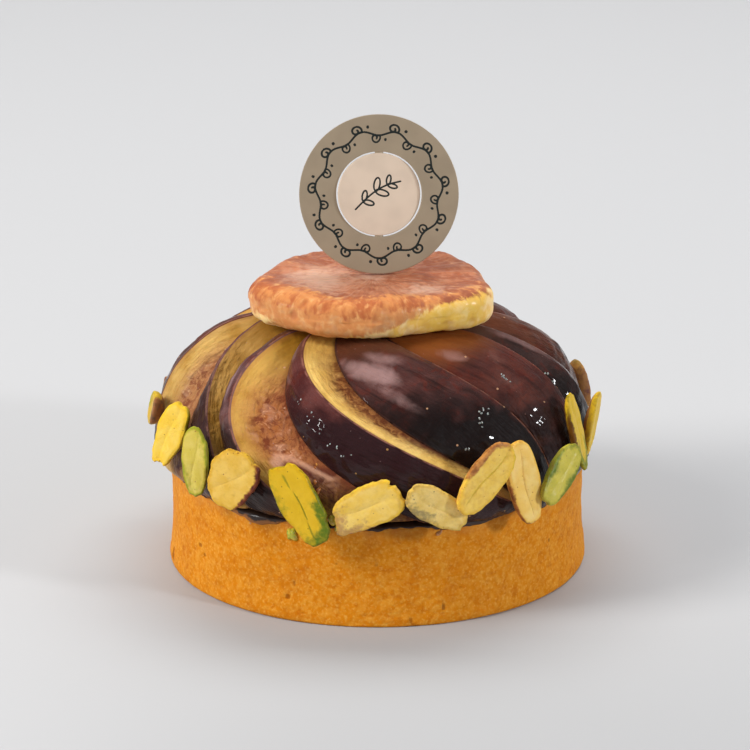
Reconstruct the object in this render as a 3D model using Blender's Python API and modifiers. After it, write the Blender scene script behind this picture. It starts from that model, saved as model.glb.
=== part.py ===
"""A round pistachio fig tart, 80 mm across, modelled at its real size.

The base is the shortcrust shell with its filling, one solid that no cut opens. Fourteen fig wedges fan
round it like a pinwheel and lean on each other, a thick round slice of fig lies on top and holds an
upright plaque, and pistachio halves ring the rim. Metres, +Z up, with the origin in the middle of the
underside.
"""

import math
import random
from typing import NamedTuple

import bmesh
import bpy
import numpy as np
from mathutils import Matrix, Vector
from mathutils.bvhtree import BVHTree

MM = 0.001
GAP = 0.3 * MM

# Shell
SHELL_RADIUS = 40.0 * MM
SHELL_HEIGHT = 20.0 * MM
SHELL_TOP_RADIUS = 39.3 * MM
SHELL_FOOT_FLARE = 3.0 * MM
SHELL_LIP = 1.5 * MM
SHELL_SIDES = 64

# The shell's side below its lip: how far outside its top radius, and height
SHELL_PROFILE = (
    (-0.15 * MM, 0.55 * SHELL_HEIGHT),
    (0.1 * MM, 2.0 * SHELL_FOOT_FLARE),
    (0.5 * MM, 0.5 * SHELL_FOOT_FLARE),
    (0.7 * MM, 0.2 * SHELL_FOOT_FLARE),
    (0.2 * MM, 0.0),
)

# Dome that the ridges of the fig wedges follow: an ellipse above its widest ring and a taller one below
DOME_RADIUS = 42.5 * MM
DOME_RISE = 27.8 * MM
DOME_TUCK = 20.0 * MM
DOME_WAIST = 24.0 * MM
WEDGE_THICKNESS = 7.0 * MM

# How much narrower the dome is on its +X side, down the dome, and the cosine of azimuth where that ends
SLIMMING = ((58.0, 0.0), (70.0, 0.9 * MM), (84.0, 1.2 * MM), (102.0, 1.8 * MM))
SLIM_END = 0.7

# Mound of filling under the wedges
MOUND_TOP = 48.4 * MM
MOUND_TOP_RADIUS = 12.6 * MM
MOUND_EDGE = 1.5 * MM
MOUND_STATIONS = (22.0, 36.0, 50.0, 61.0, 71.0, 80.0, 90.0, 94.0)
MOUND_FOOT = 37.2 * MM

# Fig wedges: stations are degrees down the dome, from its top to below its widest ring
STATIONS = (20.0, 45.0, 70.0, 95.0)
WEDGE_TOP = 22.0
WEDGE_RIM = 97.0
LEAST_HANG = 102.0
WEDGE_ROWS = 13
SKIN_STEPS = (0.0, 0.1, 0.25, 0.45, 0.7, 0.9, 1.0)
BASE_POINTS = 6
SKIN_CURVE = 2.2
CUT_SAG = 0.6
END_ROUNDING = 0.45
END_SPAN = 7.0

# Stations at which a wedge's foot has its top and its lower share
CUT_SHARE_STATIONS = (36.0, 72.0)

# Widest cut, in degrees of azimuth, that the slanted side under it still takes into account
WIDEST_CUT = 20.0

# Depths as shares of a wedge's thickness, and factors, by station: all change down the dome
VALLEY_DEPTHS = ((22.0, 0.34), (40.0, 0.45), (76.0, 0.405), (92.0, 0.27), (106.0, 0.2025))
CREST_DEPTHS = ((22.0, 0.2), (30.0, 0.03))
SLANTS = ((84.0, 0.6), (100.0, 0.09))
BULGE_FACTORS = ((28.0, 0.0), (40.0, 1.0), (90.0, 1.0), (104.0, 0.3))
LIFT_FACTORS = ((30.0, 0.0), (42.0, 1.0), (60.0, 1.0), (80.0, 0.25), (90.0, 0.0))

# Where the wedges' undersides leave the dome's thickness and follow the shell's rim instead:
# degrees down the dome, radius and height
UNDER_RIM = (
    (84.0, 35.3 * MM, 26.2 * MM),
    (90.0, 35.6 * MM, 23.6 * MM),
    (95.0, 36.8 * MM, 21.2 * MM),
    (99.0, 38.3 * MM, 20.35 * MM),
    (103.0, 39.75 * MM, 20.0 * MM),
    (109.0, 39.85 * MM, 17.6 * MM),
)

# Round slice of fig on top, its outline by azimuth in degrees and radius about its own middle
SLICE_BASE = 48.8 * MM
SLICE_THICKNESS = 7.2 * MM
SLICE_EDGE = 2.9 * MM
SLICE_CENTRE = (-0.8 * MM, -3.0 * MM)
SLICE_OUTLINE = (
    (0.0, 21.8 * MM),
    (30.0, 21.8 * MM),
    (58.0, 22.4 * MM),
    (90.0, 19.8 * MM),
    (121.0, 21.3 * MM),
    (160.0, 21.6 * MM),
    (193.0, 23.4 * MM),
    (225.0, 20.4 * MM),
    (256.0, 19.2 * MM),
    (299.0, 17.7 * MM),
    (336.0, 23.6 * MM),
)

# Plaque
PLAQUE_RADIUS = 14.9 * MM
PLAQUE_THICKNESS = 0.9 * MM
PLAQUE_LEAN = 11.0
PLAQUE_CENTRE = (0.3 * MM, 0.5 * MM, 70.8 * MM)
PLAQUE_WINDOW = 8.05 * MM
PLAQUE_DISC = 7.6 * MM
PLAQUE_DISC_TURN = 5.0
PLAQUE_TAB_WIDTH = 1.6 * MM
PLAQUE_TAB_BITE = 0.5 * MM

# Pistachio halves
NUT_THICKNESS = 2.4 * MM
NUT_CUT_FLATNESS = 0.25
NUT_BLUNTNESS = 0.75
NUT_TAPER = 0.08
NUT_SEGMENTS = 12
NUT_RINGS = 7
NUT_START_LIFT = 9.0 * MM
NUT_SPARE_ROOM = 0.03 * MM
NUT_STEP_SHARE = 0.8
NUT_REACH = 14.0 * MM

# Pistachio halves of the back: ranges of azimuth, height, tilt, length and width
BACK_NUTS = 11
BACK_AZIMUTHS = (38.0, 153.0)
BACK_AZIMUTH_PLAY = 1.5
BACK_HEIGHTS = (22.0 * MM, 24.5 * MM)
BACK_TILTS = (5.0, 35.0)
BACK_LENGTHS = (11.5 * MM, 14.5 * MM)
BACK_WIDTHS = (5.8 * MM, 7.6 * MM)


class Wedge(NamedTuple):
    """A fig wedge: its ridge's azimuths in degrees at the stations, and how it meets its neighbour.

    Its foot lies between the ridge before it and its own, at a share of the way that changes from cut_top
    to cut_share. Bulge and lift are shares of the wedges' thickness: lift is how far the ridge stands out
    of the dome.
    """

    ridge: tuple
    cut_top: float = 0.35
    cut_share: float = 0.35
    bulge: float = 0.03
    hang: float = LEAST_HANG
    lift: float = 0.0


class Nut(NamedTuple):
    """A pistachio half: place, turn and size. Angles are degrees, azimuth 270 is the front."""

    azimuth: float
    height: float
    tilt: float
    length: float
    width: float
    facing: float = 0.0
    lean: float = 0.0
    thickness: float = NUT_THICKNESS


SHOWN_WEDGES = (
    Wedge((176, 183, 187, 193), lift=0.257),
    Wedge((181, 200, 218.5, 231), cut_top=0.93, cut_share=0.50),
    Wedge((222, 217.8, 229, 253), cut_top=0.62, cut_share=0.12),
    Wedge((227, 246, 278.5, 306), cut_top=0.60, cut_share=0.46, bulge=0.05, hang=104.0),
    Wedge((264, 300.0, 315.0, 320), cut_top=0.32, cut_share=0.25, bulge=0.10, hang=108.0),
    Wedge((315, 333.5, 336.5, 340), cut_top=0.16, cut_share=0.20, bulge=0.05),
    Wedge((329, 346.5, 353, 355), cut_top=0.18, cut_share=0.24),
    Wedge((352, 373, 381, 384), cut_top=0.20, cut_share=0.30),
)
HIDDEN_WEDGES = 6
HIDDEN_SWEEP = (-17.0, -6.0, 0.0, 5.0)
HIDDEN_PLAY = 2.5

SHOWN_NUTS = (
    Nut(192.0, 31.4 * MM, 4.0, 6.6 * MM, 5.0 * MM, lean=-12.0, thickness=2.0 * MM),
    Nut(205.8, 29.9 * MM, 15.0, 12.8 * MM, 6.2 * MM, facing=34.0),
    Nut(221.8, 27.9 * MM, -16.0, 12.8 * MM, 5.0 * MM, facing=28.0),
    Nut(234.4, 27.2 * MM, 30.0, 11.8 * MM, 9.4 * MM, facing=12.0),
    Nut(251.7, 24.9 * MM, -32.0, 16.0 * MM, 7.6 * MM),
    Nut(267.6, 24.8 * MM, 65.0, 13.4 * MM, 8.2 * MM),
    Nut(284.0, 24.6 * MM, -58.0, 12.4 * MM, 6.6 * MM),
    Nut(306.6, 26.5 * MM, -9.0, 15.8 * MM, 7.0 * MM),
    Nut(294.8, 29.3 * MM, 42.0, 14.8 * MM, 7.0 * MM, lean=-12.0),
    Nut(316.0, 26.4 * MM, 48.0, 12.8 * MM, 5.6 * MM, facing=-12.0),
    Nut(330.6, 31.0 * MM, -5.0, 14.8 * MM, 5.2 * MM, facing=8.0, lean=-10.0, thickness=1.5 * MM),
    Nut(343.0, 29.9 * MM, -2.0, 12.6 * MM, 5.0 * MM, lean=-28.0, thickness=1.6 * MM),
    Nut(24.0, 27.4 * MM, 6.0, 9.6 * MM, 6.0 * MM),
)


def clear_scene():
    """Remove every object of the open scene."""
    for thing in list(bpy.data.objects):
        bpy.data.objects.remove(thing, do_unlink=True)


def new_collection(name):
    """Make a collection of this name under the scene's own."""
    made = bpy.data.collections.new(name)
    bpy.context.scene.collection.children.link(made)
    return made


def new_material(name, colour, roughness, metallic=0.0, coat=0.0):
    """Make a plain Principled material."""
    made = bpy.data.materials.new(name)
    made.use_nodes = True
    shader = made.node_tree.nodes["Principled BSDF"]
    shader.inputs["Base Color"].default_value = (*colour, 1.0)
    shader.inputs["Roughness"].default_value = roughness
    shader.inputs["Metallic"].default_value = metallic
    shader.inputs["Coat Weight"].default_value = coat
    return made


def add_object(name, mesh, collection, material=None):
    """Put a mesh in the scene as an object of its own."""
    made = bpy.data.objects.new(name, mesh)
    collection.objects.link(made)
    if material is not None:
        mesh.materials.append(material)
    return made


def as_cutter(thing):
    """Show an object as a wire that never renders."""
    thing.hide_render = True
    thing.display_type = "WIRE"


def add_boolean(target, other, operation):
    """Cut or join one object with another by a live modifier."""
    modifier = target.modifiers.new(operation.title(), "BOOLEAN")
    modifier.operation = operation
    modifier.object = other


def shade_round(mesh, degrees=35.0):
    """Shade a mesh smooth except over edges sharper than this."""
    mesh.shade_smooth()
    mesh.set_sharp_from_angle(angle=math.radians(degrees))


def by_station(table, theta):
    """Value at a station, drawn straight between a table's rows of station and value."""
    stations, values = zip(*table)
    return np.interp(theta, stations, values)


def dome_point(theta, depth=0.0):
    """Radius and height on the dome, theta degrees down from its top and this deep under it."""
    angle = np.radians(theta)
    rise = np.where(theta <= 90.0, DOME_RISE, DOME_TUCK)
    radius = DOME_RADIUS * np.sin(angle)
    height = DOME_WAIST + rise * np.cos(angle)
    across = rise * np.sin(angle)
    upward = DOME_RADIUS * np.cos(angle)
    norm = np.hypot(across, upward)
    return radius - depth * across / norm, height - depth * upward / norm


def under_point(theta, depth=0.0):
    """Radius and height of the wedges' undersides at this station, and so much deeper."""
    knots = np.array(UNDER_RIM)
    dome_radius, dome_height = dome_point(np.minimum(theta, knots[0, 0]), WEDGE_THICKNESS + depth)
    rim_radius = np.interp(theta, knots[:, 0], knots[:, 1]) - depth
    rim_height = np.interp(theta, knots[:, 0], knots[:, 2])
    on_dome = theta < knots[0, 0]
    return np.where(on_dome, dome_radius, rim_radius), np.where(on_dome, dome_height, rim_height)


def slimming(azimuth, theta):
    """How far the dome stands in on its +X side, at azimuths in radians by rows of stations."""
    side = np.clip((np.cos(azimuth) - SLIM_END) / (1.0 - SLIM_END), 0.0, 1.0)
    return side * by_station(SLIMMING, theta)[:, None]


def all_wedges():
    """The wedges that show, then those of the back by rule, in order of azimuth."""
    first = SHOWN_WEDGES[0].ridge[2] + 360.0
    last = SHOWN_WEDGES[-1].ridge[2]
    step = (first - last) / (HIDDEN_WEDGES + 1)
    draw = random.Random(7)
    hidden = []
    for index in range(1, HIDDEN_WEDGES + 1):
        middle = last + step * index + draw.uniform(-HIDDEN_PLAY, HIDDEN_PLAY)
        hidden.append(Wedge(tuple(middle + sweep for sweep in HIDDEN_SWEEP)))
    return list(SHOWN_WEDGES) + hidden


def ridge_line(wedges, index, theta):
    """Azimuth in degrees of a wedge's ridge down the dome: a cubic through its four stations."""
    turns = index // len(wedges)
    wedge = wedges[index % len(wedges)]
    return np.polyval(np.polyfit(STATIONS, wedge.ridge, 3), theta) + 360.0 * turns


def foot_share(wedge, theta):
    """How far a wedge's foot lies on the way from the ridge before it to its own ridge, down the dome."""
    return np.interp(theta, CUT_SHARE_STATIONS, (wedge.cut_top, wedge.cut_share))


def wedge_sections(wedges, index):
    """Cross-sections of one wedge, from its top end to its hanging end, as rows of points.

    A section climbs the skin from its foot to the ridge, falls down the flat cut face to the next
    wedge's foot, goes on under that wedge to the base, and comes back along the base.
    """
    wedge = wedges[index]
    after = wedges[(index + 1) % len(wedges)]
    theta = np.linspace(WEDGE_TOP, WEDGE_RIM, WEDGE_ROWS)
    theta = np.append(theta, (0.5 * (WEDGE_RIM + LEAST_HANG), LEAST_HANG))
    if wedge.hang > LEAST_HANG:
        theta = np.append(theta, wedge.hang)
    before_ridge = ridge_line(wedges, index - 1, theta)
    ridge = ridge_line(wedges, index, theta)
    after_ridge = ridge_line(wedges, index + 1, theta)
    outer_radius, outer_height = dome_point(theta)
    under_radius, under_height = under_point(theta)

    gap = np.degrees(1.5 * GAP / outer_radius)
    cut_before = foot_share(wedge, theta) * (ridge - before_ridge)
    cut_after = foot_share(after, theta) * (after_ridge - ridge)
    foot = before_ridge + cut_before + gap
    next_foot = ridge + cut_after
    valley = by_station(VALLEY_DEPTHS, theta)
    slope = by_station(SLANTS, theta) * (1.0 - valley) / valley
    own_base = foot + slope * np.minimum(cut_before, WIDEST_CUT)
    next_base = next_foot + slope * np.minimum(cut_after, WIDEST_CUT)
    crest = by_station(CREST_DEPTHS, theta) - wedge.lift * by_station(LIFT_FACTORS, theta)
    round_end = END_ROUNDING * np.clip(1.0 + (theta - wedge.hang) / END_SPAN, 0.0, 1.0) ** 2
    foot = foot + round_end * (own_base - foot)
    next_foot = next_foot + round_end * (next_base - next_foot)
    swell = wedge.bulge * by_station(BULGE_FACTORS, theta)

    azimuths = []
    shares = []
    for step in SKIN_STEPS:
        azimuths.append(foot + step * (ridge - foot))
        fall = (valley - crest) * (1.0 - step) ** SKIN_CURVE
        shares.append(crest + fall - swell * math.sin(math.pi * step))
    azimuths.append(0.5 * (ridge + next_foot))
    shares.append(crest + CUT_SAG * (valley - crest))
    azimuths.append(next_foot)
    shares.append(valley)
    for step in np.linspace(0.0, 1.0, BASE_POINTS):
        azimuths.append(next_base + step * (own_base - next_base))
        shares.append(np.ones_like(theta))
    azimuth = np.radians(np.stack(azimuths, axis=1))
    share = np.stack(shares, axis=1)
    share = round_end[:, None] + (1.0 - round_end[:, None]) * share
    skin_radius = outer_radius[:, None] - slimming(azimuth, theta)
    radius = skin_radius * (1.0 - share) + under_radius[:, None] * share
    height = outer_height[:, None] * (1.0 - share) + under_height[:, None] * share
    return np.stack((radius * np.cos(azimuth), radius * np.sin(azimuth), height), axis=2)


def loft_mesh(name, sections):
    """Closed mesh through rows of points that each run round one cross-section.

    Each four-sided patch is split from its first point in one row to its second point in the next, and
    the other way round in the closing strip, so that two neighbours that share a face split it alike.
    """
    rows, around, _ = sections.shape
    row = np.arange(rows - 1)[:, None] * around
    point = np.arange(around)[None, :]
    following = (point + 1) % around
    near = row + point
    side = row + following
    far = side + around
    across = near + around
    closing = np.broadcast_to(point == around - 1, near.shape)
    first = np.stack((near, side, np.where(closing, across, far)), axis=2)
    second = np.stack((np.where(closing, side, near), far, across), axis=2)
    faces = np.concatenate((first.reshape(-1, 3), second.reshape(-1, 3))).tolist()
    faces.append(list(range(around)))
    faces.append([(rows - 1) * around + number for number in reversed(range(around))])
    mesh = bpy.data.meshes.new(name)
    mesh.from_pydata(sections.reshape(-1, 3).tolist(), [], faces)
    shaped = bmesh.new()
    shaped.from_mesh(mesh)
    bmesh.ops.recalc_face_normals(shaped, faces=shaped.faces)
    shaped.to_mesh(mesh)
    shaped.free()
    return mesh


def make_base(collection):
    """Shell and filling in one: a turned profile, down the outside from the top of the mound."""
    mound_radius, mound_height = under_point(np.array(MOUND_STATIONS), GAP)
    profile = [(0.0, MOUND_TOP)]
    profile.append((MOUND_TOP_RADIUS - MOUND_EDGE, MOUND_TOP))
    profile.append((MOUND_TOP_RADIUS, MOUND_TOP - MOUND_EDGE))
    profile += list(zip(mound_radius, mound_height))
    profile.append((MOUND_FOOT, SHELL_HEIGHT))
    for step in range(4):
        turn = math.radians(90.0 - 30.0 * step)
        profile.append((
            SHELL_TOP_RADIUS - SHELL_LIP + SHELL_LIP * math.cos(turn),
            SHELL_HEIGHT - SHELL_LIP + SHELL_LIP * math.sin(turn),
        ))
    for outside, height in SHELL_PROFILE:
        profile.append((SHELL_TOP_RADIUS + outside, height))
    profile.append((0.0, 0.0))
    mesh = bpy.data.meshes.new("base")
    edges = [(number, number + 1) for number in range(len(profile) - 1)]
    mesh.from_pydata([(radius, 0.0, height) for radius, height in profile], edges, [])
    base = add_object("base", mesh, collection, new_material("baked_shortcrust", (0.55, 0.25, 0.05), 0.75))
    screw = base.modifiers.new("Turn", "SCREW")
    screw.steps = screw.render_steps = SHELL_SIDES
    screw.use_merge_vertices = True
    screw.merge_threshold = 0.00001
    screw.use_smooth_shade = True
    return base


def make_wedges(collection):
    """All fig wedges, each a loft of its own sections."""
    skin = new_material("fig_wedge", (0.06, 0.015, 0.02), 0.25, coat=1.0)
    wedges = all_wedges()
    made = []
    for index in range(len(wedges)):
        mesh = loft_mesh(f"fig_wedge_{index + 1:02d}", wedge_sections(wedges, index))
        shade_round(mesh)
        made.append(add_object(mesh.name, mesh, collection, skin))
    return made


def mesh_from_curve(curve_object, collection):
    """A curve object's surface as a mesh object with its caps welded on, in place of the curve."""
    graph = bpy.context.evaluated_depsgraph_get()
    mesh = bpy.data.meshes.new_from_object(curve_object.evaluated_get(graph))
    shaped = bmesh.new()
    shaped.from_mesh(mesh)
    bmesh.ops.remove_doubles(shaped, verts=shaped.verts, dist=0.00001)
    shaped.to_mesh(mesh)
    shaped.free()
    made = add_object(curve_object.name + "_solid", mesh, collection)
    made.matrix_world = curve_object.matrix_world
    name = curve_object.name
    bpy.data.objects.remove(curve_object, do_unlink=True)
    made.name = name
    return made


def make_slice(collection, cutters):
    """Round slice of fig: a flat outline with round edges, with a slot for the plaque's lower edge."""
    curve = bpy.data.curves.new("fig_slice", "CURVE")
    curve.dimensions = "2D"
    curve.fill_mode = "BOTH"
    curve.extrude = 0.5 * SLICE_THICKNESS - SLICE_EDGE
    curve.bevel_depth = SLICE_EDGE
    curve.bevel_resolution = 2
    curve.offset = -SLICE_EDGE
    curve.resolution_u = 4
    spline = curve.splines.new("BEZIER")
    spline.bezier_points.add(len(SLICE_OUTLINE) - 1)
    spline.use_cyclic_u = True
    for corner, (azimuth, radius) in zip(spline.bezier_points, SLICE_OUTLINE):
        angle = math.radians(azimuth)
        corner.co = (radius * math.cos(angle), radius * math.sin(angle), 0.0)
        corner.handle_left_type = corner.handle_right_type = "AUTO"
    flat = bpy.data.objects.new("fig_slice", curve)
    collection.objects.link(flat)
    flat.location = (*SLICE_CENTRE, SLICE_BASE + 0.5 * SLICE_THICKNESS)
    bpy.context.view_layer.update()
    slab = mesh_from_curve(flat, collection)
    slab.data.materials.append(new_material("fig_flesh", (0.55, 0.20, 0.08), 0.3, coat=1.0))
    slot = add_disc("plaque_slot", PLAQUE_RADIUS + GAP, PLAQUE_THICKNESS + 2.0 * GAP, cutters)
    stand_plaque(slot)
    as_cutter(slot)
    add_boolean(slab, slot, "DIFFERENCE")
    shade_round(slab.data)
    return slab


def add_disc(name, radius, thickness, collection, sides=64):
    """A flat disc about the origin, facing along Y."""
    mesh = bpy.data.meshes.new(name)
    shaped = bmesh.new()
    bmesh.ops.create_cone(
        shaped,
        cap_ends=True,
        segments=sides,
        radius1=radius,
        radius2=radius,
        depth=thickness,
        matrix=Matrix.Rotation(math.radians(90.0), 4, "X"),
    )
    shaped.to_mesh(mesh)
    shaped.free()
    return add_object(name, mesh, collection)


def stand_plaque(thing):
    """Place a plaque part where the plaque stands, leaning back."""
    thing.location = PLAQUE_CENTRE
    thing.rotation_euler = (math.radians(-PLAQUE_LEAN), 0.0, 0.0)


def make_plaque(collection, cutters):
    """Plaque: a thin ring whose middle disc hangs on two tabs, turned a few degrees in its window."""
    plaque = add_disc("plaque", PLAQUE_RADIUS, PLAQUE_THICKNESS, collection)
    plaque.data.materials.append(new_material("satin_metal", (0.35, 0.28, 0.22), 0.35, metallic=0.8))
    window = add_disc("plaque_window", PLAQUE_WINDOW, 3.0 * PLAQUE_THICKNESS, cutters, sides=48)
    disc = add_disc("plaque_disc", PLAQUE_DISC, PLAQUE_THICKNESS, cutters, sides=48)
    for thing in (plaque, window, disc):
        stand_plaque(thing)
    disc.rotation_euler.z = math.radians(PLAQUE_DISC_TURN)
    add_boolean(plaque, window, "DIFFERENCE")
    add_boolean(plaque, disc, "UNION")
    as_cutter(window)
    as_cutter(disc)
    for side, label in ((1.0, "upper"), (-1.0, "lower")):
        tab_mesh = bpy.data.meshes.new(f"plaque_tab_{label}")
        shaped = bmesh.new()
        bmesh.ops.create_cube(shaped, size=1.0)
        middle = 0.5 * (PLAQUE_DISC + PLAQUE_WINDOW)
        reach = PLAQUE_WINDOW - PLAQUE_DISC + 2.0 * PLAQUE_TAB_BITE
        bmesh.ops.scale(shaped, vec=(PLAQUE_TAB_WIDTH, 0.8 * PLAQUE_THICKNESS, reach), verts=shaped.verts)
        bmesh.ops.translate(shaped, vec=(0.0, 0.0, side * middle), verts=shaped.verts)
        shaped.to_mesh(tab_mesh)
        shaped.free()
        tab = add_object(tab_mesh.name, tab_mesh, cutters)
        stand_plaque(tab)
        as_cutter(tab)
        add_boolean(plaque, tab, "UNION")
    shade_round(plaque.data)
    return plaque


def all_nuts():
    """The pistachio halves that show, then those of the back by a seeded rule."""
    draw = random.Random(21)
    hidden = []
    for middle in np.linspace(*BACK_AZIMUTHS, BACK_NUTS):
        hidden.append(Nut(
            float(middle) + draw.uniform(-BACK_AZIMUTH_PLAY, BACK_AZIMUTH_PLAY),
            draw.uniform(*BACK_HEIGHTS),
            draw.choice((-1.0, 1.0)) * draw.uniform(*BACK_TILTS),
            draw.uniform(*BACK_LENGTHS),
            draw.uniform(*BACK_WIDTHS),
        ))
    return list(SHOWN_NUTS) + hidden


def nut_mesh(name, nut):
    """A pistachio half: a ball drawn out along Z, narrower at its ends and flat on its outer side."""
    mesh = bpy.data.meshes.new(name)
    shaped = bmesh.new()
    bmesh.ops.create_uvsphere(shaped, u_segments=NUT_SEGMENTS, v_segments=NUT_RINGS, radius=1.0)
    for vertex in shaped.verts:
        along = vertex.co.z
        girth = math.hypot(vertex.co.x, vertex.co.y)
        taper = (1.0 + NUT_TAPER * along) * max(girth, 0.01) ** (NUT_BLUNTNESS - 1.0)
        flat = NUT_CUT_FLATNESS if vertex.co.y > 0.0 else 1.0
        vertex.co.x *= 0.5 * nut.width * taper
        vertex.co.y *= nut.thickness * flat * taper
        vertex.co.z *= 0.5 * nut.length
    shaped.to_mesh(mesh)
    shaped.free()
    shade_round(mesh, 60.0)
    return mesh


def nut_matrix(nut, lift):
    """Frame of a nut on the dome: Y out of its face, Z along the nut, its middle this far off the dome."""
    theta = np.linspace(40.0, 108.0, 400)
    radius, height = dome_point(theta)
    station = float(np.interp(-nut.height, -height, theta))
    radius, height = (float(value) for value in dome_point(np.array(station)))
    under_radius, under_height = (float(value) for value in dome_point(np.array(station), MM))
    outward = Vector((radius - under_radius, 0.0, height - under_height)).normalized()
    outward = Matrix.Rotation(math.radians(-nut.lean), 3, "Y") @ outward
    upward = outward.cross(Vector((0.0, 1.0, 0.0))).normalized()
    if upward.z < 0.0:
        upward = -upward
    frame = Matrix((outward.cross(upward), outward, upward)).transposed()
    frame = frame @ Matrix.Rotation(math.radians(-nut.tilt), 3, "Y")
    frame = frame @ Matrix.Rotation(math.radians(nut.facing), 3, "Z")
    place = Vector((radius, 0.0, height)) + outward * lift
    turn = Matrix.Rotation(math.radians(nut.azimuth), 4, "Z")
    return turn @ Matrix.Translation(place) @ frame.to_4x4()


def shortest_distance(points, tree):
    """Smallest distance from any of the points to the tree's surface."""
    return min(tree.find_nearest(point)[3] for point in points)


def make_nuts(collection, wedge_objects):
    """Pistachio halves, each moved in along its own normal until it rests on the figs or its neighbours."""
    yellow = new_material("pistachio", (0.62, 0.48, 0.08), 0.45)
    placed = []
    for thing in wedge_objects:
        points = [vertex.co.copy() for vertex in thing.data.vertices]
        faces = [tuple(face.vertices) for face in thing.data.polygons]
        placed.append((points, BVHTree.FromPolygons(points, faces)))
    for number, nut in enumerate(all_nuts(), start=1):
        mesh = nut_mesh(f"pistachio_{number:02d}", nut)
        faces = [tuple(face.vertices) for face in mesh.polygons]
        lift = NUT_START_LIFT
        room = math.inf
        while room > GAP + NUT_SPARE_ROOM:
            frame = nut_matrix(nut, lift)
            own_points = [frame @ vertex.co for vertex in mesh.vertices]
            own_tree = BVHTree.FromPolygons(own_points, faces)
            room = math.inf
            for points, tree in placed:
                near = [spot for spot in points if (spot - frame.translation).length < NUT_REACH]
                if near:
                    own_room = shortest_distance(own_points, tree)
                    room = min(room, own_room, shortest_distance(near, own_tree))
            lift -= NUT_STEP_SHARE * (room - GAP)
        placed.append((own_points, own_tree))
        thing = add_object(mesh.name, mesh, collection, yellow)
        thing.matrix_world = frame


def main():
    clear_scene()
    tart = new_collection("pistachio_fig_tart")
    cutters = new_collection("cutters")
    make_base(tart)
    wedge_objects = make_wedges(tart)
    make_slice(tart, cutters)
    make_plaque(tart, cutters)
    make_nuts(tart, wedge_objects)


main()
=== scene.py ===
"""The looks of a round pistachio fig tart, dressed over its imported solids.

Every piece is a surface worked out with numpy: rings of points carried along a path and closed at their ends.
The fig wedges, the shell, the round slice, the pistachio halves and the plaque stand for the solids. Lengths
are metres, angles are degrees and +Z is up, unless a name or a docstring says otherwise.
"""

import logging
import math
import random
from collections.abc import Mapping, Sequence
from dataclasses import dataclass, field
from enum import Enum
from functools import cached_property
from itertools import product

import bpy
import numpy as np
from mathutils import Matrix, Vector


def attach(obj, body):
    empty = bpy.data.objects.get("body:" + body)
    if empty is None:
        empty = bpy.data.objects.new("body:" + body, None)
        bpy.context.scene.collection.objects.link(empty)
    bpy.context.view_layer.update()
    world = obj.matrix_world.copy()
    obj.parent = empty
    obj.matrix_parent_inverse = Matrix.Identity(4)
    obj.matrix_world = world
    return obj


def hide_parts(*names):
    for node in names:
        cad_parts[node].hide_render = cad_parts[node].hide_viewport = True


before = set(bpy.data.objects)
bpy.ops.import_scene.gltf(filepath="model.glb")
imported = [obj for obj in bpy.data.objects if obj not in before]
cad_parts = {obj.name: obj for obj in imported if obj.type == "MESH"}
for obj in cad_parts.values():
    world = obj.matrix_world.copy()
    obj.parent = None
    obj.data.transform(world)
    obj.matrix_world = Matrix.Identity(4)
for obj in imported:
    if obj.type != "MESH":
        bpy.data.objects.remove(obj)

Array = np.ndarray
Pair = tuple[float, float]
Triple = tuple[float, float, float]
Rgb = Triple
Table = tuple[Pair, ...]
MM = 0.001
BLACK: Rgb = (0, 0, 0)
LOG = logging.getLogger("fig_tart")


class Slot(Enum):
    """Material slots of the record that the pieces take their finish from."""

    CRUST = "crust"
    FIG = "fig"
    FIG_SLICE = "fig_slice"
    PISTACHIO = "pistachio"
    PLAQUE = "plaque"


# Arithmetic on whole arrays


def srgb(red: float, green: float, blue: float) -> Triple:
    """Scene-linear colour of a display colour given as 0 to 255."""
    shown = np.array((red, green, blue)) / 255.0
    linear = np.where(shown <= 0.04045, shown / 12.92, ((shown + 0.055) / 1.055) ** 2.4)
    return tuple(float(value) for value in linear)


def ease(low: float, high: float, value: Array) -> Array:
    """Smooth step: 0 below low, 1 above high, and 3 t^2 - 2 t^3 between."""
    share = np.clip((value - low) / (high - low), 0.0, 1.0)
    return share * share * (3.0 - 2.0 * share)


def soft_table(table: Table, where: Array, width: float) -> Array:
    """Value drawn between a table's rows, with its corners rounded off.

    The value is the mean of straight interpolation at nine places spread over the width.

    Args:
        table: Rows of position and value, in order of position.
        where: Positions to read.
        width: How far the rounding reaches either side.

    Returns:
        One value for each position.
    """
    knots, values = zip(*table)
    spread = np.linspace(-width, width, 9)
    return np.mean([np.interp(where + offset, knots, values) for offset in spread], axis=0)


def in_mm(*rows: Pair) -> Table:
    """Table of metres, from rows in millimetres."""
    return tuple((first * MM, second * MM) for first, second in rows)


def grid(x: Array | float, y: Array | float, z: Array | float) -> Array:
    """Points of three coordinates, spread to one shape."""
    return np.stack(np.broadcast_arrays(x, y, z), axis=-1)


def full_turn(count: int) -> Array:
    """Angles of so many columns round a full turn, in radians."""
    return np.linspace(0.0, 2.0 * math.pi, count, endpoint=False)


def around(radius: Array | float, angle: Array | float) -> tuple[Array, Array]:
    """X and Y of places at a radius and an angle in radians."""
    return radius * np.cos(angle), radius * np.sin(angle)


def apart(angle: Array, other: float) -> Array:
    """Degrees between angles and another, the shorter way round."""
    return np.abs(np.mod(angle - other + 180.0, 360.0) - 180.0)


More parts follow.
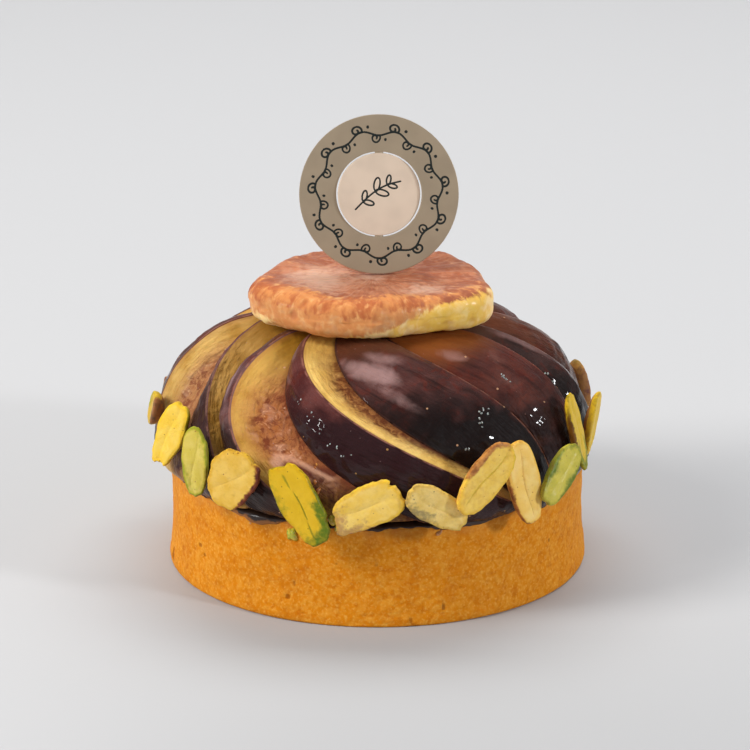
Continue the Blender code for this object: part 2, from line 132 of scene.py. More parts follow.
def lattice_noise(points: Array, cell: float, seed: int = 0) -> Array:
    """Smooth noise in space, from -1 to 1: hashed values on a cubic lattice, eased between its corners.

    Args:
        points: Places, with x, y and z in the last axis.
        cell: Size of one lattice cell, in the points' own unit.
        seed: Picks another pattern.

    Returns:
        One value for each point.
    """
    scaled = points / cell
    corner = np.floor(scaled).astype(np.int64)
    part = scaled - corner
    part = part**3 * (part * (part * 6.0 - 15.0) + 10.0)
    total = np.zeros(points.shape[:-1])
    for offset in product((0, 1), repeat=3):
        x, y, z = (corner[..., axis] + offset[axis] for axis in range(3))
        mixed = (x * 73856093) ^ (y * 19349663) ^ (z * 83492791) ^ (seed * 40503 + 977)
        mixed = (mixed ^ (mixed >> 13)) * 1274126177
        mixed = (mixed ^ (mixed >> 16)) & 0xFFFFF
        weight = np.prod(np.where(np.array(offset) == 1, part, 1.0 - part), axis=-1)
        total += weight * mixed / 0xFFFFF
    return 2.0 * total - 1.0


def layered_noise(points: Array, cell: float, layers: int = 3, seed: int = 0) -> Array:
    """Sum of noises, each of half the cell and half the strength of the one before."""
    total = np.zeros(points.shape[:-1])
    for layer in range(layers):
        total += lattice_noise(points, cell * 0.5**layer, seed + 17 * layer) * 0.5**layer
    return total


def closed_curve(angle: Array, knots: Array, values: Array) -> Array:
    """Smooth closed curve through values at azimuths: cubics, with slopes taken across each knot.

    Args:
        angle: Azimuths to read, in degrees.
        knots: Azimuths of the values, rising, within one turn.
        values: Values at the knots.

    Returns:
        One value for each azimuth.
    """
    count = len(knots)
    wide_knots = np.concatenate((knots - 360.0, knots, knots + 360.0))
    wide_values = np.tile(values, 3)
    place = np.clip(
        np.searchsorted(wide_knots, np.mod(angle, 360.0), side="right") - 1, count - 1, 2 * count)
    slope = (wide_values[2:] - wide_values[:-2]) / (wide_knots[2:] - wide_knots[:-2])
    slope = np.concatenate((slope[:1], slope, slope[-1:]))
    span = wide_knots[place + 1] - wide_knots[place]
    t = (np.mod(angle, 360.0) - wide_knots[place]) / span
    rest = 1.0 - t
    return (
        wide_values[place] * (1.0 + 2.0 * t) * rest**2
        + slope[place] * span * t * rest**2
        + wide_values[place + 1] * t**2 * (3.0 - 2.0 * t)
        - slope[place + 1] * span * t**2 * rest
    )


# Meshes


@dataclass
class Rings:
    """A closed surface as rows of points, each row a ring, with values that ride on the points.

    Attributes:
        points: Rows by columns by 3. The columns run round a ring.
        values: Named fields of rows by columns, kept on the mesh as attributes.
        hoop: True if the last row joins the first. Otherwise each end is closed with a middle point.
    """

    points: Array
    values: dict[str, Array] = field(default_factory=dict)
    hoop: bool = False

    def normals(self) -> Array:
        """Unit normals: the cross product of the steps along the two ways of the grid, turned outwards."""
        sideways = np.roll(self.points, -1, axis=1) - np.roll(self.points, 1, axis=1)
        if self.hoop:
            along = np.roll(self.points, -1, axis=0) - np.roll(self.points, 1, axis=0)
        else:
            along = np.gradient(self.points, axis=0)
        normal = np.cross(sideways, along)
        normal /= np.maximum(np.linalg.norm(normal, axis=2, keepdims=True), 1e-12)
        return normal * self.facing(normal)

    def facing(self, normal: Array) -> float:
        """Sign that turns normals outwards, by the sum of each normal times its point's offset."""
        offset = self.points - self.points.mean(axis=(0, 1))
        if self.hoop:
            offset = self.points - self.points.mean(axis=0, keepdims=True)
        return 1.0 if np.sum(normal * offset) >= 0.0 else -1.0

    def raise_by(self, height: Array) -> None:
        """Move every point along its normal."""
        self.points = self.points + self.normals() * height[..., None]

    def corners(self) -> tuple[Array, list[list[int]]]:
        """Vertices and faces: quads between the rows, and a fan on each open end, turned outwards."""
        rows, columns, _ = self.points.shape
        last = rows if self.hoop else rows - 1
        row = np.arange(last)[:, None] * columns
        after = ((np.arange(last) + 1) % rows)[:, None] * columns
        here = np.arange(columns)[None, :]
        beside = (here + 1) % columns
        quads = np.stack((row + here, row + beside, after + beside, after + here), axis=2).reshape(-1, 4)
        vertices = self.points.reshape(-1, 3)
        fans = np.zeros((0, 3), int)
        if not self.hoop:
            middles = np.stack((self.points[0].mean(axis=0), self.points[-1].mean(axis=0)))
            vertices = np.concatenate((vertices, middles))
            first, end = rows * columns, rows * columns + 1
            foot = (rows - 1) * columns
            fans = np.concatenate((
                np.stack((beside[0], here[0], np.full(columns, first)), axis=1),
                np.stack((foot + here[0], foot + beside[0], np.full(columns, end)), axis=1),
            ))
        halves = np.concatenate((quads[:, [0, 1, 2]], quads[:, [0, 2, 3]], fans))
        a, b, c = (vertices[halves[:, corner]] for corner in range(3))
        if np.sum(a * np.cross(b, c)) < 0.0:
            quads, fans = quads[:, ::-1], fans[:, ::-1]
        return vertices, quads.tolist() + fans.tolist()

    def fields(self) -> dict[str, Array]:
        """The values as flat arrays that match the vertices."""
        flat = {}
        for name, value in self.values.items():
            column = np.broadcast_to(value, self.points.shape[:2])
            ends = [] if self.hoop else [column[0].mean(), column[-1].mean()]
            flat[name] = np.concatenate((column.reshape(-1), ends))
        return flat


def make_piece(name: str, parts: Sequence[Rings], slot: Slot, material: bpy.types.Material,
               stands_for: Sequence[str] = ()) -> None:
    """Join closed surfaces into one mesh object that rides on the tart's body.

    Args:
        name: The piece's name.
        parts: Surfaces to join. All carry the same named values.
        slot: Slot of the record that the finish belongs to.
        material: Material of the whole piece.
        stands_for: Solids that the piece replaces.
    """
    vertices, faces, fields, count = [], [], {}, 0
    for part in parts:
        points, corners = part.corners()
        vertices.append(points)
        faces += [[number + count for number in face] for face in corners] if count else corners
        for label, values in part.fields().items():
            fields.setdefault(label, []).append(values)
        count += len(points)
    mesh = bpy.data.meshes.new(name)
    mesh.from_pydata(np.concatenate(vertices).tolist(), [], faces)
    for label, values in fields.items():
        mesh.attributes.new(label, "FLOAT", "POINT").data.foreach_set("value", np.concatenate(values))
    mesh.shade_smooth()
    mesh.materials.append(material)
    piece = bpy.data.objects.new(name, mesh)
    bpy.context.scene.collection.objects.link(piece)
    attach(piece, "root")
    if stands_for:
        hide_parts(*stands_for)
    LOG.info("%s: %d faces in slot %s", name, len(faces), slot.value)


# Materials


def per_mm(cell: float) -> float:
    """Noise scale for cells of so many millimetres on coordinates in metres."""
    return 1.0 / (cell * MM)


@dataclass(frozen=True)
class Value:
    """An output in a node tree. Arithmetic on it adds the nodes that work it out."""

    graph: "Graph"
    socket: bpy.types.NodeSocket

    def __add__(self, other: object) -> "Value":
        """Sum of two numbers."""
        return self.graph.math("ADD", self, other)

    def __mul__(self, other: object) -> "Value":
        """Product of two numbers."""
        return self.graph.math("MULTIPLY", self, other)

    def __sub__(self, other: object) -> "Value":
        """Difference of two numbers."""
        return self.graph.math("SUBTRACT", self, other)

    def __rsub__(self, other: float) -> "Value":
        """A plain number less this one."""
        return self.graph.math("SUBTRACT", other, self)

    def __truediv__(self, other: object) -> "Value":
        """Quotient of two numbers."""
        return self.graph.math("DIVIDE", self, other)

    def step(self, low: object, high: object) -> "Value":
        """Smooth step of this number between two limits."""
        return self.graph.step(self, low, high)

    __radd__, __rmul__ = __add__, __mul__


class Graph:
    """A node tree with short ways to add nodes and join them."""

    def __init__(self, tree: bpy.types.NodeTree) -> None:
        """Work on this tree."""
        self.tree = tree

    def feed(self, socket: bpy.types.NodeSocket, value: object) -> None:
        """Link a socket, or set its own value; a colour is given in display values."""
        if isinstance(value, Value):
            value = value.socket
        if isinstance(value, bpy.types.NodeSocket):
            self.tree.links.new(value, socket)
        elif socket.type == "RGBA":
            socket.default_value = (*srgb(*value), 1.0)
        else:
            socket.default_value = value

    def node(self, kind: str, inputs: Mapping[str | int, object] | None = None,
             **settings: object) -> bpy.types.Node:
        """Add a node.

        Args:
            kind: Blender's node type, without its ShaderNode prefix.
            inputs: Sockets or values by input name or number.
            settings: The node's own properties.

        Returns:
            The node.
        """
        made = self.tree.nodes.new("ShaderNode" + kind)
        for name, value in settings.items():
            setattr(made, name, value)
        for key, value in (inputs or {}).items():
            self.feed(made.inputs[key], value)
        return made

    def math(self, operation: str, first: object, second: object = 0.0) -> Value:
        """Result of one operation on two numbers."""
        return Value(self, self.node("Math", {0: first, 1: second}, operation=operation).outputs[0])

    def mix(self, factor: object, first: object, second: object) -> Value:
        """Blend of two colours."""
        return Value(self, self.node("Mix", {0: factor, 6: first, 7: second}, data_type="RGBA").outputs[2])

    def coats(self, colour: object, *coats: tuple[object, object]) -> Value:
        """Colours laid over a first one in turn, each through its mask."""
        for mask, tone in coats:
            colour = self.mix(mask, colour, tone)
        return colour

    def step(self, value: object, low: object, high: object) -> Value:
        """Smooth step of a value between two limits; a low above high falls instead of rising."""
        inputs = {"Value": value, "From Min": low, "From Max": high}
        return Value(self, self.node("MapRange", inputs, interpolation_type="SMOOTHSTEP").outputs["Result"])

    def noise(self, vector: object, scale: object, detail: object, distortion: object = 0.0) -> Value:
        """Layered noise from 0 to 1."""
        inputs = {"Vector": vector, "Scale": scale, "Detail": detail, "Distortion": distortion}
        return Value(self, self.node("TexNoise", inputs).outputs["Fac"])

    def grain(self, place: object, cell: float, detail: float, distortion: float = 0.0) -> Value:
        """Noise with cells of so many millimetres."""
        return self.noise(place, per_mm(cell), detail, distortion)

    def wander(self, place: object, cell: float, detail: float, distortion: float) -> Value:
        """Noise about 0, with cells of so many millimetres."""
        return self.grain(place, cell, detail, distortion) - 0.5

    def blotches(self, place: object, cell: float, low: float, high: float, detail: float = 3.0,
                 distortion: float = 0.0) -> Value:
        """Mottled mask, with cells of so many millimetres."""
        return self.effect(EFFECTS.mottle, {
            "Vector": place, "Scale": per_mm(cell), "Detail": detail, "Low": low, "High": high,
            "Distortion": distortion})

    def specks(self, place: object, cell: float, size: float, share: float) -> Value:
        """Mask of round specks, with cells of so many millimetres."""
        return self.effect(
            EFFECTS.specks, {"Vector": place, "Scale": per_mm(cell), "Size": size, "Share": share})

    def bump(self, height: object, strength: float, distance: float) -> bpy.types.NodeSocket:
        """Normal of a relief whose full height is the distance, in metres."""
        return self.node("Bump", {"Strength": strength, "Distance": distance, "Height": height}).outputs[0]

    def value(self, name: str) -> Value:
        """A value that the mesh carries."""
        return Value(self, self.node("Attribute", attribute_name=name).outputs["Fac"])

    def place(self) -> bpy.types.NodeSocket:
        """The point's object coordinates, in metres."""
        return self.node("TexCoord").outputs["Object"]

    def effect(self, group: bpy.types.NodeTree, inputs: Mapping[str, object]) -> Value:
        """First output of a node group placed here with its own values."""
        node = self.node("Group")
        node.node_tree = group
        for key, value in inputs.items():
            self.feed(node.inputs[key], value)
        return Value(self, node.outputs[0])


class Effects:
    """Node groups that more than one finish uses, each built when it is first asked for."""

    def start(self, name: str, inputs: Mapping[str, object], output: str) -> tuple[Graph, dict[str, Value]]:
        """Begin a group.

        Args:
            name: The group's name.
            inputs: Input names with their first values: a number, or None for a vector.
            output: Name of the one output, a number.

        Returns:
            The group's graph, and what it is given at each input.
        """
        graph = Graph(bpy.data.node_groups.new(name, "ShaderNodeTree"))
        for label, value in inputs.items():
            kind = "NodeSocketVector" if value is None else "NodeSocketFloat"
            socket = graph.tree.interface.new_socket(label, in_out="INPUT", socket_type=kind)
            if value is not None:
                socket.default_value = value
        graph.tree.interface.new_socket(output, in_out="OUTPUT", socket_type="NodeSocketFloat")
        entry = graph.tree.nodes.new("NodeGroupInput")
        return graph, {label: Value(graph, entry.outputs[label]) for label in inputs}

    def finish(self, graph: Graph, result: object) -> bpy.types.NodeTree:
        """Join the result to the group's output."""
        end = graph.tree.nodes.new("NodeGroupOutput")
        graph.feed(end.inputs[0], result)
        return graph.tree

    @cached_property
    def mottle(self) -> bpy.types.NodeTree:
        """Blotches: layered noise pushed through a smooth step between two limits."""
        inputs = {"Vector": None, "Scale": 100.0, "Detail": 3.0, "Low": 0.4, "High": 0.6, "Distortion": 0.0}
        graph, given = self.start("mottle", inputs, "Mask")
        noise = graph.noise(given["Vector"], given["Scale"], given["Detail"], given["Distortion"])
        return self.finish(graph, noise.step(given["Low"], given["High"]))

    @cached_property
    def specks(self) -> bpy.types.NodeTree:
        """Scattered round specks: discs about the feature points of a share of the cells."""
        inputs = {"Vector": None, "Scale": 1000.0, "Size": 0.3, "Share": 0.3}
        graph, given = self.start("specks", inputs, "Mask")
        cells = graph.node("TexVoronoi", {"Vector": given["Vector"], "Scale": given["Scale"]}).outputs
        near = graph.math("LESS_THAN", cells["Distance"], given["Size"])
        colour = graph.node("SeparateColor", {0: cells["Color"]}).outputs[0]
        return self.finish(graph, near * graph.math("LESS_THAN", colour, given["Share"]))

    @cached_property
    def streaks(self) -> bpy.types.NodeTree:
        """Streaks: noise that is fine across and drawn out along, both in millimetres."""
        inputs = {"Across": 0.0, "Along": 0.0, "Fine": 0.5, "Long": 8.0, "Shift": 0.0}
        graph, given = self.start("streaks", inputs, "Value")
        across, along = given["Across"] / given["Fine"], given["Along"] / given["Long"]
        vector = graph.node("CombineXYZ", {0: across, 1: along, 2: given["Shift"]}).outputs[0]
        return self.finish(graph, graph.noise(vector, 1.0, 3.0))

    @cached_property
    def swirls(self) -> bpy.types.NodeTree:
        """Thin curling lines: where a warped noise comes close to its middle value."""
        inputs = {"Vector": None, "Scale": 300.0, "Warp": 1.6, "Width": 0.03}
        graph, given = self.start("swirls", inputs, "Mask")
        noise = graph.noise(given["Vector"], given["Scale"], 2.0, given["Warp"])
        return self.finish(graph, graph.math("ABSOLUTE", noise - 0.5).step(given["Width"], 0.0))

    @cached_property
    def fibres(self) -> bpy.types.NodeTree:
        """Fibres that run out from a middle: noise over the heading from it, drawn out along the way."""
        inputs = {"Offset": None, "Away": 0.0, "Turns": 6.0, "Long": 4.0, "Shift": 0.0}
        graph, given = self.start("fibres", inputs, "Value")
        heading = graph.node("VectorMath", {0: given["Offset"]}, operation="NORMALIZE").outputs[0]
        turned = graph.node("VectorMath", {0: heading, 3: given["Turns"]}, operation="SCALE").outputs[0]
        up = graph.node("CombineXYZ", {2: given["Away"] / given["Long"] + given["Shift"]}).outputs[0]
        vector = graph.node("VectorMath", {0: turned, 1: up}, operation="ADD").outputs[0]
        return self.finish(graph, graph.noise(vector, 1.0, 4.0, 0.35))


EFFECTS = Effects()


def shaded(name: str, graph: Graph, inputs: Mapping[str, object]) -> bpy.types.Material:
    """Close a material: one Principled shader fed by the graph.

    Args:
        name: The material's name, already given to the graph's tree.
        graph: The material's graph.
        inputs: Sockets or constants for the shader's inputs.

    Returns:
        The material.
    """
    shader = graph.tree.nodes["Principled BSDF"]
    for key, value in inputs.items():
        graph.feed(shader.inputs[key], value)
    return bpy.data.materials[name]


def new_material(name: str) -> Graph:
    """Start a material and give back its graph."""
    made = bpy.data.materials.new(name)
    made.use_nodes = True
    return Graph(made.node_tree)


@dataclass(frozen=True)
class CrustFinish:
    """Baked shortcrust: golden, with a sandy grain, browner blotches and small dark pits."""

    pale: Rgb = (228, 164, 62)
    golden: Rgb = (212, 128, 16)
    bright: Rgb = (240, 186, 92)
    brown: Rgb = (176, 86, 6)
    toast: Rgb = (188, 122, 62)
    pit: Rgb = (120, 54, 6)

    def material(self) -> bpy.types.Material:
        """Build the crust's material."""
        graph = new_material("baked_shortcrust")
        place = graph.place()
        blotch = graph.blotches(place, 5.0, 0.42, 0.7, 5.0)
        colour = graph.coats(
            self.golden,
            (graph.blotches(place, 1.0, 0.35, 0.65, 5.0) * 0.45, self.pale),
            (graph.blotches(place, 1.3, 0.5, 0.74, 4.0) * 0.42, self.brown),
            (blotch * 0.28, self.brown),
            (graph.blotches(place, 0.5, 0.5, 0.75) * 0.34, self.bright),
            (graph.value("pit").step(0.2, 0.9) * 0.6, self.pit),
            (graph.value("baked").step(0.0, 1.0) * (0.3 + blotch * 0.3), self.toast),
        )
        height = graph.grain(place, 0.35, 3.0) + graph.grain(place, 1.1, 2.0)
        return shaded("baked_shortcrust", graph, {
            "Base Color": colour, "Roughness": 0.62, "Normal": graph.bump(height, 0.55, 0.00012),
            "Subsurface Weight": 0.12, "Subsurface Radius": (1.0, 0.5, 0.2), "Subsurface Scale": 0.0015,
            "Specular IOR Level": 0.08,
        })


@dataclass(frozen=True)
class FigFinish:
    """One fig wedge's colours, from its skin to its pulp.

    Attributes:
        name: Material name.
        skin: The skin's main colour.
        flush: Colour of the skin's lighter patches.
        top: Colour that the skin takes close under the round slice.
        low: Colour of the skin at its hanging end.
        haze_and_sheen: Pale colour of painted sheen on the skin, standing for the glaze's soft reflections of
            the lights.
        ridge: Painted highlight, a thin light line along the ridge.
        foot: Line of thick glaze along the skin's foot.
        rind: Flesh next to the skin.
        dark_rind_and_shade: Darker rind colour, in its darker patches and, as painted shade under the slice,
            near the top.
        flesh: Flesh inside the rind.
        pulp: Dark fibres of the flesh.
        core: Middle of the pulp.
        veil: Pale fibres of the flesh.
        red: Translucent red patches of the skin.
        jelly: Dark jelly low on the cut face.
        shift: Moves the patterns, so that no two wedges match.
    """

    name: str
    skin: Rgb = (62, 36, 32)
    flush: Rgb = (92, 50, 40)
    top: Rgb = (100, 58, 36)
    low: Rgb = (24, 15, 14)
    haze_and_sheen: Rgb = (150, 122, 122)
    ridge: Rgb = (140, 92, 78)
    foot: Rgb = (70, 44, 38)
    rind: Rgb = (206, 164, 84)
    dark_rind_and_shade: Rgb = (164, 118, 44)
    flesh: Rgb = (176, 116, 68)
    pulp: Rgb = (122, 62, 36)
    core: Rgb = (176, 96, 34)
    veil: Rgb = (206, 158, 120)
    red: Rgb = (96, 34, 22)
    jelly: Rgb = (84, 40, 34)
    shift: float = 0.0

    def skin_colour(self, graph: Graph, place: object, from_ridge: Value, down: Value) -> Value:
        """Skin: patches and streaks, a warmer top, a darker end, painted sheen and two thin lines."""
        patch = graph.blotches(place, 7.0, 0.38, 0.68, 4.0, 0.6)
        streak = graph.effect(EFFECTS.streaks, {
            "Across": from_ridge, "Along": down, "Fine": 1.1, "Long": 9.0, "Shift": self.shift})
        sheen_cloud = graph.value("haze_and_sheen") + graph.wander(place, 3.6, 5.0, 0.9) * 0.8
        broken = graph.grain(place, 2.2, 3.0).step(0.38, 0.58)
        return graph.coats(
            self.skin,
            (patch, self.flush),
            (graph.blotches(place, 2.6, 0.5, 0.68, 5.0, 0.8) * 0.5, self.red),
            (streak.step(0.5, 0.8) * 0.7, self.flush),
            (streak.step(0.48, 0.25) * 0.6, self.low),
            (down.step(14.0, 4.0), self.top),
            ((down + patch * -7.0).step(15.0, 31.0), self.low),
            # Painted sheen: the glaze's soft reflections of the lights, laid on as a pale colour.
            (sheen_cloud.step(0.3, 1.15) * 0.9, self.haze_and_sheen),
            # Painted sheen along the folds of glaze.
            (graph.value("fold") * 0.5, self.haze_and_sheen),
            # Painted highlight: a thin light line along the ridge.
            (from_ridge.step(-0.5, -0.1) * broken, self.ridge),
            (graph.value("from_foot").step(0.75, 0.2) * broken.step(0.0, 0.6), self.foot),
        )

    def cut_colour(self, graph: Graph, place: object, from_ridge: Value, down: Value) -> Value:
        """Cut face: the skin's edge, rind, fibrous flesh round the pulp's middle, and jelly low down."""
        fuzz = graph.wander(place, 1.6, 6.0, 0.9)
        wide = graph.wander(place, 4.5, 3.0, 0.6)
        middle_x = graph.value("pulp_x") + wide * 14.0
        middle_y = graph.value("pulp_y") + graph.wander(place, 3.6, 3.0, 1.0) * 14.0
        offset = graph.node("CombineXYZ", {0: middle_x, 1: middle_y}).outputs[0]
        away = graph.node("VectorMath", {0: offset}, operation="LENGTH").outputs["Value"]
        fibre = graph.effect(EFFECTS.fibres, {
            "Offset": offset, "Away": away, "Turns": 4.5, "Long": 2.4, "Shift": self.shift * 9.0})
        swirl = graph.effect(
            EFFECTS.swirls, {"Vector": place, "Scale": per_mm(4.4), "Warp": 1.0, "Width": 0.12})
        ragged = graph.value("pulp") + fuzz * 0.35 + wide * 0.5 + (fibre - 0.5) * 0.5
        jelly = graph.value("jelly")
        rind = graph.coats(
            self.rind,
            (graph.blotches(place, 5.0, 0.35, 0.75), self.dark_rind_and_shade),
            # Painted shade: the rind darker near the top, under the slice.
            (down.step(15.0, 3.0), self.dark_rind_and_shade),
            (from_ridge.step(1.5, 0.3) * 0.35, self.flesh),
            (ragged.step(1.6, 1.0) * 0.55, self.flesh),
        )
        inner = graph.coats(
            self.flesh,
            ((fibre + fuzz * 0.5).step(0.66, 0.34), self.pulp),
            ((wide + fuzz).step(-0.02, 0.22) * 0.7, self.core),
            (fibre.step(0.52, 0.7) * wide.step(0.02, 0.16) * 0.7, self.veil),
            (jelly.step(0.15, 0.9), self.pulp),
        )
        return graph.coats(
            rind,
            (ragged.step(1.2, 0.7), inner),
            (jelly.step(0.1, 0.8) * from_ridge.step(4.0, 8.0) * (0.72 + fuzz * 1.6), self.jelly),
            (swirl * (ragged.step(1.3, 0.9) * wide.step(-0.02, 0.14)) * 0.32, self.veil),
            # Painted shade: darker where the cut face runs into the crease under the next wedge.
            (graph.value("valley") * 0.55, self.pulp),
            (graph.value("fold") * 0.6, self.veil),
            (from_ridge.step(0.34, 0.12), self.flush),
        )

    def material(self) -> bpy.types.Material:
        """Build this wedge's material."""
        graph = new_material(self.name)
        shift = (self.shift, 0.0, 0.0)
        place = graph.node("VectorMath", {0: graph.place(), 1: shift}, operation="ADD").outputs[0]
        from_ridge, down = graph.value("from_ridge"), graph.value("down")
        on_cut = from_ridge.step(-0.05, 0.05)
        colour = graph.coats(
            self.skin_colour(graph, place, from_ridge, down),
            (on_cut, self.cut_colour(graph, place, from_ridge, down)),
            (graph.specks(place, 3.0, 0.07, 0.4) * 0.7, self.veil),
            (graph.specks(place, 1.7, 0.065, 0.3) * 0.5, self.haze_and_sheen),
        )
        wrinkle = graph.effect(EFFECTS.streaks, {
            "Across": from_ridge, "Along": down, "Fine": 0.9, "Long": 3.5, "Shift": self.shift})
        wet = 0.35 + down.step(9.0, 22.0) * 0.65
        height = (graph.grain(place, 1.2, 4.0, 0.5) * 1.3 + wrinkle * 2.4) * wet
        patchy = graph.grain(place, 4.5, 2.0).step(0.3, 0.62)
        # Less coat where the sheen is painted into the colour.
        coat = (1.0 - on_cut * 0.45) * (patchy * 0.45 + 0.2) * graph.value("haze_and_sheen").step(1.0, -0.1)
        return shaded(self.name, graph, {
            "Base Color": colour, "Roughness": 0.5, "Specular IOR Level": 0.1,
            "Normal": graph.bump(height, 0.9, 0.0003), "Coat Weight": coat, "Coat Roughness": 0.05,
            "Coat IOR": 1.4, "Subsurface Weight": 0.1, "Subsurface Radius": (1.0, 0.45, 0.25),
            "Subsurface Scale": 0.0012,
        })


@dataclass(frozen=True)
class SliceFinish:
    """Round slice of fig: rusty flesh under a milky glaze, a fibrous orange rim and a golden side."""

    rust: Rgb = (152, 88, 62)
    orange: Rgb = (182, 118, 86)
    red: Rgb = (178, 100, 60)
    haze_and_sheen: Rgb = (200, 156, 132)
    peach: Rgb = (208, 138, 82)
    pale: Rgb = (232, 184, 124)
    golden: Rgb = (238, 190, 92)
    olive: Rgb = (222, 192, 74)
    cream: Rgb = (248, 212, 148)

    def material(self) -> bpy.types.Material:
        """Build the slice's material: mottled on top, with strokes that run over the rim and the side."""
        graph = new_material("fig_slice_flesh")
        place = graph.place()
        fuzz = graph.wander(place, 1.8, 6.0, 0.8)
        wide = graph.wander(place, 6.0, 3.0, 0.7)
        offset = graph.node("CombineXYZ", {0: graph.value("off_x"), 1: graph.value("off_y")}).outputs[0]
        away = graph.value("onward") + wide * 5.0
        fibre, strokes = (
            graph.effect(EFFECTS.fibres, {
                "Offset": offset, "Away": away, "Turns": turns, "Long": long, "Shift": shift})
            for turns, long, shift in ((10.0, 3.4, 3.0), (17.0, 1.7, 7.0)))
        ragged = fuzz * 0.6 + wide * 0.5 + (strokes - 0.5) * 1.3
        top = graph.coats(
            self.rust,
            ((wide + fuzz * 0.8).step(-0.2, 0.2), self.orange),
            (strokes.step(0.5, 0.75) * 0.35, self.haze_and_sheen),
            ((graph.value("haze_and_sheen") + fuzz * 0.9).step(0.25, 1.0), self.haze_and_sheen),
        )
        band = graph.coats(
            self.red,
            ((wide * 1.6 + strokes).step(0.25, 0.7), self.peach),
            ((strokes + fuzz * 1.2).step(0.55, 0.85) * 0.4, self.pale),
        )
        side = graph.coats(
            self.peach,
            ((strokes * 0.7 + (fuzz + wide * 0.8)).step(0.25, 0.7) * 0.7, self.pale),
            ((fuzz + wide).step(0.05, 0.3) * 0.45, self.orange),
        )
        gold = graph.coats(
            self.golden, ((wide + fuzz).step(-0.1, 0.2), self.cream), (graph.value("olive"), self.olive))
        colour = graph.coats(
            top,
            ((graph.value("rim") + ragged).step(0.35, 0.85), band),
            ((graph.value("side") + ragged).step(0.3, 0.8), side),
            ((graph.value("gold") + ragged).step(0.3, 0.8), gold),
            ((graph.value("cream") + ragged).step(0.4, 0.9), self.cream),
            (graph.value("pit") * 0.6, self.red),
        )
        bump = graph.bump(fibre + graph.grain(place, 0.8, 3.0), 0.3, 0.0002)
        coat = graph.grain(place, 5.0, 2.0).step(0.35, 0.7) * 0.25 + 0.1
        return shaded("fig_slice_flesh", graph, {
            "Base Color": colour, "Roughness": 0.5, "Specular IOR Level": 0.15, "Normal": bump,
            "Coat Weight": coat, "Coat Roughness": 0.2, "Coat IOR": 1.36, "Subsurface Weight": 0.2,
            "Subsurface Radius": (1.0, 0.45, 0.2), "Subsurface Scale": 0.0018,
        })


@dataclass(frozen=True)
class PistachioFinish:
    """One pistachio half's colours: its cut face, the green next to its skin, and the papery skin."""

    name: str
    face: Rgb
    bright: Rgb
    green: Rgb
    skin: Rgb
    purple: Rgb
    smudge: Rgb

    def material(self) -> bpy.types.Material:
        """Build this half's material."""
        graph = new_material(self.name)
        place = graph.place()
        fine = graph.wander(place, 0.8, 5.0, 0.4)
        edge = graph.value("edge") + fine * 0.7
        skin = (graph.value("skin") + fine * 0.9).step(0.34, 0.8)
        colour = graph.coats(
            self.face,
            (graph.blotches(place, 2.6, 0.35, 0.7, 4.0, 0.5) * 0.6, self.bright),
            (edge.step(0.15, 0.85) * 0.75, self.bright),
            ((fine + graph.value("worn")).step(0.25, 0.9) * 0.55, self.skin),
            ((graph.value("green") + fine * 1.1).step(0.2, 1.15), self.green),
            ((graph.value("groove") + fine * 0.8).step(0.45, 1.1) * 0.6, self.green),
            (graph.specks(place, 0.9, 0.15, 0.3) * 0.7, self.skin),
            (edge.step(0.85, 1.1) * fine.step(-0.2, 0.05) * 0.4, self.skin),
            ((graph.value("smudge") + fine * 1.6).step(0.35, 1.1) * 0.75, self.smudge),
            (skin, graph.mix(graph.blotches(place, 1.2, 0.42, 0.7, 4.0), self.skin, self.purple)),
        )
        bump = graph.bump(graph.grain(place, 0.6, 5.0, 0.5) + skin * 0.8, 0.7, 0.00018)
        return shaded(self.name, graph, {
            "Base Color": colour, "Roughness": 0.5, "Specular IOR Level": 0.25, "Normal": bump,
            "Subsurface Weight": 0.25, "Subsurface Radius": (1.0, 0.8, 0.2), "Subsurface Scale": 0.0013,
            "Coat Weight": 0.12, "Coat Roughness": 0.25,
        })


@dataclass(frozen=True)
class PlaqueFinish:
    """Satin pearl card of the plaque, with dark engraved strokes."""

    name: str
    sheet: Rgb = (172, 154, 130)
    ink: Rgb = (34, 40, 38)
    metallic: float = 0.35

    def material(self) -> bpy.types.Material:
        """Build the plaque's material."""
        graph = new_material(self.name)
        place = graph.place()
        colour = graph.coats(
            self.sheet,
            (graph.grain(place, 6.0, 2.0).step(0.35, 0.7) * 0.1, BLACK),
            (graph.value("ink").step(0.35, 0.65), self.ink),
        )
        bump = graph.bump(graph.grain(place, 0.25, 2.0), 0.12, 0.00005)
        return shaded(self.name, graph, {
            "Base Color": colour, "Roughness": 0.38, "Metallic": self.metallic, "Normal": bump})


@dataclass(frozen=True)
class PlainFinish:
    """A small thing's finish: two colours in soft patches."""

    name: str
    first: Rgb
    second: Rgb
    roughness: float = 0.3
    coat: float = 0.5

    def material(self) -> bpy.types.Material:
        """Build the material."""
        graph = new_material(self.name)
        patch = graph.blotches(graph.place(), 1.2, 0.38, 0.62)
        return shaded(self.name, graph, {
            "Base Color": graph.mix(patch, self.first, self.second), "Roughness": self.roughness,
            "Coat Weight": self.coat, "Coat Roughness": 0.08, "Subsurface Weight": 0.1,
            "Subsurface Scale": 0.001,
        })


@dataclass(frozen=True)
class SyrupFinish:
    """Syrup under the figs: almost black, and amber where it is thin."""

    dark: Rgb = (40, 26, 22)
    brown: Rgb = (62, 40, 28)
    amber: Rgb = (146, 90, 36)

    def material(self) -> bpy.types.Material:
        """Build the syrup's material."""
        graph = new_material("thin_syrup")
        patch = graph.blotches(graph.place(), 2.4, 0.4, 0.66, 4.0)
        thin = graph.value("amber") + (patch - 0.5) * 0.7
        colour = graph.mix(thin.step(0.3, 0.8), graph.mix(patch, self.dark, self.brown), self.amber)
        return shaded("thin_syrup", graph, {
            "Base Color": colour, "Roughness": 0.4, "Specular IOR Level": 0.3, "Coat Weight": 0.2,
            "Coat Roughness": 0.1,
        })


# Pieces of the tart


